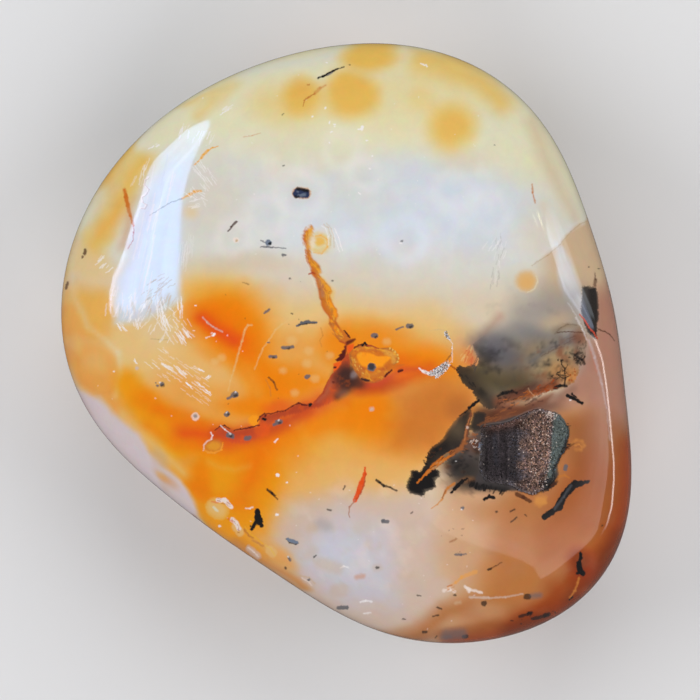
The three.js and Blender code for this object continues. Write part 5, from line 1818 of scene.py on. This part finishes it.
# %% Mark group


def math_node(tree, operation, a, b=None):
    inputs = {0: a} if b is None else {0: a, 1: b}
    return node(tree, "ShaderNodeMath", inputs, operation=operation).outputs[0]


def vector_node(tree, operation, a, b=None):
    inputs = {0: a} if b is None else {0: a, 1: b}
    made = node(tree, "ShaderNodeVectorMath", inputs, operation=operation)
    return made.outputs["Value" if operation == "LENGTH" else "Vector"]


def mixed(tree, share, below, above):
    made = node(tree, "ShaderNodeMix", {}, data_type="RGBA")
    for socket, value in ((made.inputs["Factor"], share), (made.inputs[6], below), (made.inputs[7], above)):
        if isinstance(value, bpy.types.NodeSocket):
            tree.links.new(value, socket)
        else:
            socket.default_value = value
    return made.outputs[2]


def new_group(name, inputs, outputs):
    """A node group with named sockets, and its input and output nodes."""
    group = bpy.data.node_groups.new(name, "ShaderNodeTree")
    for socket, kind in inputs.items():
        group.interface.new_socket(name=socket, in_out="INPUT", socket_type="NodeSocket" + kind)
    for socket, kind in outputs.items():
        group.interface.new_socket(name=socket, in_out="OUTPUT", socket_type="NodeSocket" + kind)
    return group, group.nodes.new("NodeGroupInput").outputs, group.nodes.new("NodeGroupOutput").inputs


group, given, result = new_group(
    "draw mark", {"Seen": "Vector", "Place": "Vector", "Size": "Vector", "Tint": "Color", "Strength": "Float",
                  "Colour": "Color"}, {"Colour": "Color", "Mask": "Float"})
place = node(group, "ShaderNodeSeparateXYZ", {0: given["Place"]})
size = node(group, "ShaderNodeSeparateXYZ", {0: given["Size"]})
middle = node(group, "ShaderNodeCombineXYZ", {0: place.outputs[0], 1: place.outputs[1], 2: 0.0})
flat = vector_node(group, "MULTIPLY", given["Seen"], (1, 1, 0))
away = vector_node(group, "SUBTRACT", flat, middle.outputs[0])
turned = node(group, "ShaderNodeVectorRotate", {"Vector": away, "Angle": place.outputs[2]},
              rotation_type="Z_AXIS", invert=True)
own = node(group, "ShaderNodeSeparateXYZ", {0: turned.outputs[0]})
past = math_node(group, "MAXIMUM", math_node(group, "SUBTRACT", math_node(group, "ABSOLUTE", own.outputs[0]),
                                             size.outputs[0]), 0.0)
offset = node(group, "ShaderNodeCombineXYZ", {0: past, 1: own.outputs[1], 2: 0.0})
distance = math_node(group, "SUBTRACT", vector_node(group, "LENGTH", offset.outputs[0]), size.outputs[1])
soft_in = math_node(group, "MULTIPLY", size.outputs[2], -1.0)
edge = node(group, "ShaderNodeMapRange", {"Value": distance, "From Min": soft_in, "From Max": size.outputs[2],
                                          "To Min": 1.0, "To Max": 0.0}, interpolation_type="SMOOTHSTEP")
mask = math_node(group, "MULTIPLY", edge.outputs[0], given["Strength"])
group.links.new(mask, result["Mask"])
group.links.new(mixed(group, mask, given["Colour"], given["Tint"]), result["Colour"])
draw_mark = group

# %% Chalcedony
tree, output = fresh_nodes(stone_material)
seen_at = attribute(tree, "seen").outputs["Vector"]
crown_only = node(tree, "ShaderNodeSeparateXYZ", {0: seen_at}).outputs[2]


def wander(tree, at, size, reach):
    """A vector pushed about by coloured noise: add reach * (noise - 1/2)."""
    noise = node(tree, "ShaderNodeTexNoise", {"Vector": at, "Scale": 1 / size, "Detail": 2.0,
                                              "Roughness": 0.6})
    push = vector_node(tree, "SUBTRACT", noise.outputs["Color"], (0.5, 0.5, 0.5))
    return vector_node(tree, "ADD", at, vector_node(tree, "MULTIPLY", push, (reach, reach, 0)))


ragged = wander(tree, seen_at, 3.0, 2.6)
serration = node(tree, "ShaderNodeTexNoise", {"Vector": seen_at, "Scale": 0.55, "Detail": 2.0})
night = attribute(tree, "night").outputs["Vector"]
night_distance = node(tree, "ShaderNodeSeparateXYZ", {0: night}).outputs[0]
teeth = math_node(tree, "MULTIPLY", math_node(tree, "SUBTRACT", serration.outputs[0], 0.5), 4.5)
cut = node(tree, "ShaderNodeMapRange", {"Value": math_node(tree, "ADD", night_distance, teeth),
                                        "From Min": -0.8, "From Max": 0.8, "To Min": 1.0, "To Max": 0.0},
           interpolation_type="SMOOTHSTEP")
colour = mixed(tree, cut.outputs[0], attribute(tree, "clouds").outputs["Color"],
               attribute(tree, "shade").outputs["Color"])
grain_at = node(tree, "ShaderNodeTexCoord").outputs["Object"]
for size, amount in ((1.3, 0.16), (0.28, 0.07)):
    grain = node(tree, "ShaderNodeTexNoise", {"Vector": grain_at, "Scale": 1 / (size * MM), "Detail": 4.0,
                                              "Distortion": 0.4})
    share = vector_node(tree, "MULTIPLY", grain.outputs["Color"], (amount, amount, amount))
    share = vector_node(tree, "ADD", share, (1 - amount / 2, 1 - amount / 2, 1 - amount / 2))
    colour = vector_node(tree, "MULTIPLY", colour, share)
speck = node(tree, "ShaderNodeTexNoise", {"Vector": grain_at, "Scale": 1 / (1.1 * MM), "Detail": 3.0})
dark_speck = node(tree, "ShaderNodeMapRange", {"Value": speck.outputs[0], "From Min": 0.70, "From Max": 0.73})
back_only = math_node(tree, "SUBTRACT", 1.0, crown_only)
colour = mixed(tree, math_node(tree, "MULTIPLY", dark_speck.outputs[0], back_only), colour,
               (*straightened(TINTS["umber"]), 1.0))
for layer in range(LAYERS):
    tint = attribute(tree, f"mark tint {layer}")
    strength = math_node(tree, "MULTIPLY", tint.outputs["Alpha"], crown_only)
    drawn = node(tree, "ShaderNodeGroup", node_tree=draw_mark)
    for socket, value in (("Seen", ragged), ("Place", attribute(tree,
                                                                f"mark place {layer}").outputs["Vector"]),
                          ("Size", attribute(tree, f"mark size {layer}").outputs["Vector"]),
                          ("Tint", tint.outputs["Color"]), ("Strength", strength), ("Colour", colour)):
        tree.links.new(value, drawn.inputs[socket])
    colour = drawn.outputs["Colour"]
polish = node(tree, "ShaderNodeBsdfPrincipled", {"Base Color": colour, "Roughness": 0.06, "IOR": 1.54})
tree.links.new(polish.outputs[0], output.inputs["Surface"])

# %% [markdown]
# The crystals take their colour from their tint, which holds painted shade, painted light and painted glints
# in the pocket, and clean facets shine.

# %% Druse
tree, output = fresh_nodes(druse_material)
facet = node(tree, "ShaderNodeBsdfPrincipled", {
    "Base Color": attribute(tree, "tint").outputs["Color"], "Roughness": 0.28, "IOR": 1.54,
})
tree.links.new(facet.outputs[0], output.inputs["Surface"])

# %% [markdown]
# ## Light
# A plain studio: an even, dim surround, four soft boxes round the stone, and a pale floor. The polish mirrors
# neither the boxes nor the floor, so that its colours stay deep, and its bright shapes come from cards.

# %% Light and floor
SURROUND = 0.12
FLOOR_TINT = (0.72, 0.72, 0.73)
world = bpy.data.worlds.new("studio")
bpy.context.scene.world = world
world.use_nodes = True
world.node_tree.nodes["Background"].inputs["Color"].default_value = (1.0, 1.0, 1.0, 1.0)
world.node_tree.nodes["Background"].inputs["Strength"].default_value = SURROUND

floor_material = bpy.data.materials.new("pale floor")
tree, output = fresh_nodes(floor_material)
plain = node(tree, "ShaderNodeBsdfPrincipled", {"Base Color": (*FLOOR_TINT, 1.0), "Roughness": 0.9})
tree.links.new(plain.outputs[0], output.inputs["Surface"])
FLOOR_HALF = 1000.0
corners = np.array([[-1, -1, 0], [1, -1, 0], [1, 1, 0], [-1, 1, 0]]) * FLOOR_HALF
floor = make_piece("floor", corners, [(0, 1, 2, 3)], floor_material)
floor.visible_glossy = False


def soft_box(name, place, size, power):
    """A round area light that faces the stone and shows in no reflection."""
    light = bpy.data.lights.new(name, "AREA")
    light.shape = "DISK"
    light.size = size
    light.energy = power
    light_object = bpy.data.objects.new(name, light)
    light_object.location = place
    light_object.rotation_euler = light_object.location.to_track_quat("Z", "Y").to_euler()
    light_object.visible_glossy = False
    bpy.context.collection.objects.link(light_object)


BOX_WIDTH = 0.4
for box, place, power in [
    ("far box", (0.02, 0.44, 0.30), 1.2), ("left box", (-0.44, 0.06, 0.30), 1.4),
    ("right box", (0.44, 0.02, 0.30), 1.28), ("near box", (0.0, -0.44, 0.30), 1.38),
]:
    soft_box(box, place, BOX_WIDTH, power)
bpy.context.scene.view_settings.view_transform = "Standard"

# %% [markdown]
# The bright shapes are windows mirrored in the polish. Guessing where a window must hang is slow. It is
# quicker to work backwards: take the two edges of a reflection as pixels, send a ray from the lens to the
# polish at each, and let it bounce. The card hangs where the rays go. It lights nothing but the mirror, and
# it adds its glow to what lies behind it, so its faded parts are clear.

# %% Mirrored cards


def bounced(pixels):
    """Polish points and the rays that leave them: r = d - 2 (d . n) n, n from the slopes each side."""
    at = polish_point(pixels)
    step = 0.05
    slope_x = (polished_at(at[..., :2] + [step, 0]) - polished_at(at[..., :2] - [step, 0])) / (2 * step)
    slope_y = (polished_at(at[..., :2] + [0, step]) - polished_at(at[..., :2] - [0, step])) / (2 * step)
    normal = np.stack([-slope_x, -slope_y, np.ones_like(slope_x)], axis=-1)
    normal /= np.linalg.norm(normal, axis=-1, keepdims=True)
    ray = at - np.array([*EYE, GIRDLE_HEIGHT + LENS_DISTANCE])
    ray /= np.linalg.norm(ray, axis=-1, keepdims=True)
    return at, ray - 2 * np.sum(ray * normal, axis=-1, keepdims=True) * normal


def resampled(points, count):
    """A broken line as count points at equal steps along it."""
    points = np.asarray(points, float)
    length = np.concatenate([[0], np.cumsum(np.hypot(*np.diff(points, axis=0).T))])
    steps = np.linspace(0, length[-1], count)
    return np.stack([np.interp(steps, length, points[:, 0]), np.interp(steps, length, points[:, 1])], axis=1)


def card_material(name, colour, strength, streaks, ends, sides, torn):
    """A glow that fades to nothing at its ends and sides, with streaks along it; torn frays its last part."""
    material = bpy.data.materials.new(name)
    tree, output = fresh_nodes(material)
    place = node(tree, "ShaderNodeUVMap", uv_map="card")
    split = node(tree, "ShaderNodeSeparateXYZ", {0: place.outputs[0]})
    across, along = split.outputs[0], split.outputs[1]
    stretch = node(tree, "ShaderNodeMapping", {"Vector": place.outputs[0], "Scale": (7.0, 1.8, 1.0)})
    noise = node(tree, "ShaderNodeTexNoise", {"Vector": stretch.outputs[0], "Scale": 1.0, "Detail": 4.0,
                                              "Distortion": 0.6})
    power = node(tree, "ShaderNodeMapRange", {"Value": noise.outputs[0], "From Min": 0.38, "From Max": 0.68,
                                              "To Min": 1.0 - streaks, "To Max": 1.0 + streaks}).outputs[0]
    fades = [(along, 0.0, ends[0]), (along, 1.0, 1 - ends[1]), (across, 0.0, sides[0]), (across, 1.0,
                                                                                         1 - sides[1])]
    for value, dark, light in fades:
        rise = node(tree, "ShaderNodeMapRange", {"Value": value, "From Min": dark, "From Max": light},
                    interpolation_type="SMOOTHSTEP")
        power = math_node(tree, "MULTIPLY", power, rise.outputs[0])
    if torn:
        strips = node(tree, "ShaderNodeMapping", {"Vector": place.outputs[0], "Scale": (26.0, 7.0, 1.0)})
        strip_noise = node(tree, "ShaderNodeTexNoise", {"Vector": strips.outputs[0], "Scale": 1.0,
                                                        "Detail": 3.0})
        level = node(tree, "ShaderNodeMapRange", {"Value": along, "From Min": 1 - torn, "From Max": 1.0,
                                                  "To Min": 0.25, "To Max": 0.62})
        over = math_node(tree, "SUBTRACT", strip_noise.outputs[0], level.outputs[0])
        left = node(tree, "ShaderNodeMapRange", {"Value": over, "From Min": 0.0, "From Max": 0.03})
        power = math_node(tree, "MULTIPLY", power, left.outputs[0])
    power = math_node(tree, "MULTIPLY", power, strength)
    glow = node(tree, "ShaderNodeEmission", {"Color": (*colour, 1.0), "Strength": power})
    clear = node(tree, "ShaderNodeBsdfTransparent")
    both = node(tree, "ShaderNodeAddShader", {0: glow.outputs[0], 1: clear.outputs[0]})
    tree.links.new(both.outputs[0], output.inputs["Surface"])
    return material


def mirror_card(name, outer, inner, distance, colour, strength, streaks=0.3, ends=(0.02, 0.02),
                sides=(0.04, 0.04),
                torn=0.0, along=60, wide=16):
    """A sheet of rays between two edges: pixel = outer + v (inner - outer), point = polish + distance ray."""
    v = np.linspace(0, 1, wide)[:, None, None]
    pixels = resampled(outer, along) * (1 - v) + resampled(inner, along) * v
    at, ray = bounced(pixels)
    card_points = (at + distance * ray).reshape(-1, 3)
    column = np.arange(along - 1)
    starts = along * np.arange(wide - 1)[:, None]
    quads = np.stack([starts + column, starts + column + 1, starts + along + column + 1,
                      starts + along + column], -1)
    material = card_material(name, colour, strength, streaks, ends, sides, torn)
    card = make_piece(name, card_points, quads.reshape(-1, 4).tolist(), material)
    uv = card.data.uv_layers.new(name="card")
    corner = np.empty(len(card.data.loops), int)
    card.data.loops.foreach_get("vertex_index", corner)
    uv.data.foreach_set("uv", np.stack([corner // along / (wide - 1), corner % along / (along - 1)],
                                       1).ravel())
    card.visible_camera = False
    card.visible_diffuse = False
    card.visible_shadow = False
    return card


TALL_LEFT = [
    (211, 119), (198, 124), (186, 131), (170, 146), (155, 160), (148, 174), (143, 192), (137, 212),
    (130, 232),
    (125, 249), (120.5, 262), (113.5, 276), (109.5, 295), (110, 312), (117, 328),
]
RIGHT_EDGE = [(549, 199), (556, 214), (563, 239), (567, 257), (578, 284), (585, 299), (592, 318), (596, 329)]
mirror_card(
    "tall_window", TALL_LEFT,
    [(212, 120), (208, 134), (200, 148), (194, 162), (189, 176), (184, 200), (181.5, 232), (180.5, 262),
     (181, 286),
     (180, 304)],
    250.0, (0.3, 0.5, 0.92), 8.5, 0.2, (0.03, 0.08), (0.02, 0.01), 0.12)
mirror_card(
    "window_fold",
    [(203, 132), (190, 151), (176, 164), (167, 176), (163, 193), (155, 209), (150, 232), (146, 256),
     (140, 280)],
    [(206, 132), (196, 148), (184, 163), (172, 178), (168, 194), (160, 211), (156, 232), (154, 256),
     (149, 284)],
    245.0, (0.9, 0.95, 1.0), 2.2, 0.6, (0.2, 0.4), (0.5, 0.4))
mirror_card(
    "window_edge", TALL_LEFT[5:14],
    [(151, 176), (147, 193), (141, 213), (134, 234), (129, 251), (125, 265), (119, 279), (115, 296),
     (115, 312)],
    245.0, (1.0, 0.92, 1.0), 3.6, 0.8, (0.2, 0.05), (0.3, 0.5))
mirror_card(
    "right_window", RIGHT_EDGE,
    [(547, 199), (546, 216), (547, 234), (553, 252), (559, 274), (564, 291), (580, 313), (593, 330)],
    250.0, (0.66, 0.76, 1.0), 4.0, 0.5, (0.3, 0.02), (0.06, 0.1))
mirror_card(
    "right_pane",
    [(551, 199), (558, 214), (567, 240), (575, 262), (584, 288), (592, 306), (597, 322)],
    RIGHT_EDGE[:-1],
    250.0, (0.8, 0.9, 1.0), 1.7, 0.3, (0.3, 0.05), (0.04, 0.04))
mirror_card(
    "right_line",
    [(591, 332), (598, 340), (604.5, 360), (608.5, 385), (611.5, 412), (614, 440), (616, 462), (616, 481),
     (614, 507), (609, 526), (600, 540)],
    [(589, 333), (596, 342), (602.5, 360), (606.5, 385), (609.5, 412), (612, 440), (614, 462), (614, 481),
     (612, 506), (607, 525), (599, 539)],
    90.0, (1.0, 0.93, 0.9), 8.0, 0.3, (0.05, 0.2), (0.3, 0.3))
mirror_card(
    "veil",
    [(412, 499.5), (422.5, 512), (437, 528), (455.5, 537.4), (476, 545.6), (502.6, 553.8), (523, 561),
     (535.4, 568),
     (541.5, 580), (552, 574.4), (564, 565), (576.4, 555), (588.7, 544.6), (598, 533), (601, 522), (604, 505),
     (608, 481), (610, 456), (608, 420), (605, 390), (598, 360)],
    [(430, 480), (440, 484), (452, 488), (466, 492), (484, 496), (502, 500), (514, 502), (522, 503),
     (530, 503),
     (538, 501), (546, 498), (554, 494), (562, 488), (568, 480), (572, 470), (576, 458), (580, 444),
     (584, 428),
     (588, 404), (590, 380), (592, 352)],
    250.0, (1.0, 0.85, 0.86), 1.6, 0.15, (0.12, 0.2), (0.006, 0.95))
mirror_card(
    "near_glint", [(537.4, 212), (541, 221), (544.4, 230)], [(539.4, 211.6), (542.6, 220.4), (544.8, 229.6)],
    250.0, (1.0, 0.95, 0.5), 9.0, 0.2, (0.1, 0.2), (0.3, 0.3))
mirror_card(
    "far_glint", [(532.4, 214), (536.6, 223.6), (540, 231)], [(534.8, 213.4), (538.6, 222.4), (540.6, 230.6)],
    250.0, (1.0, 0.98, 0.75), 4.0, 0.2, (0.2, 0.3), (0.4, 0.4))
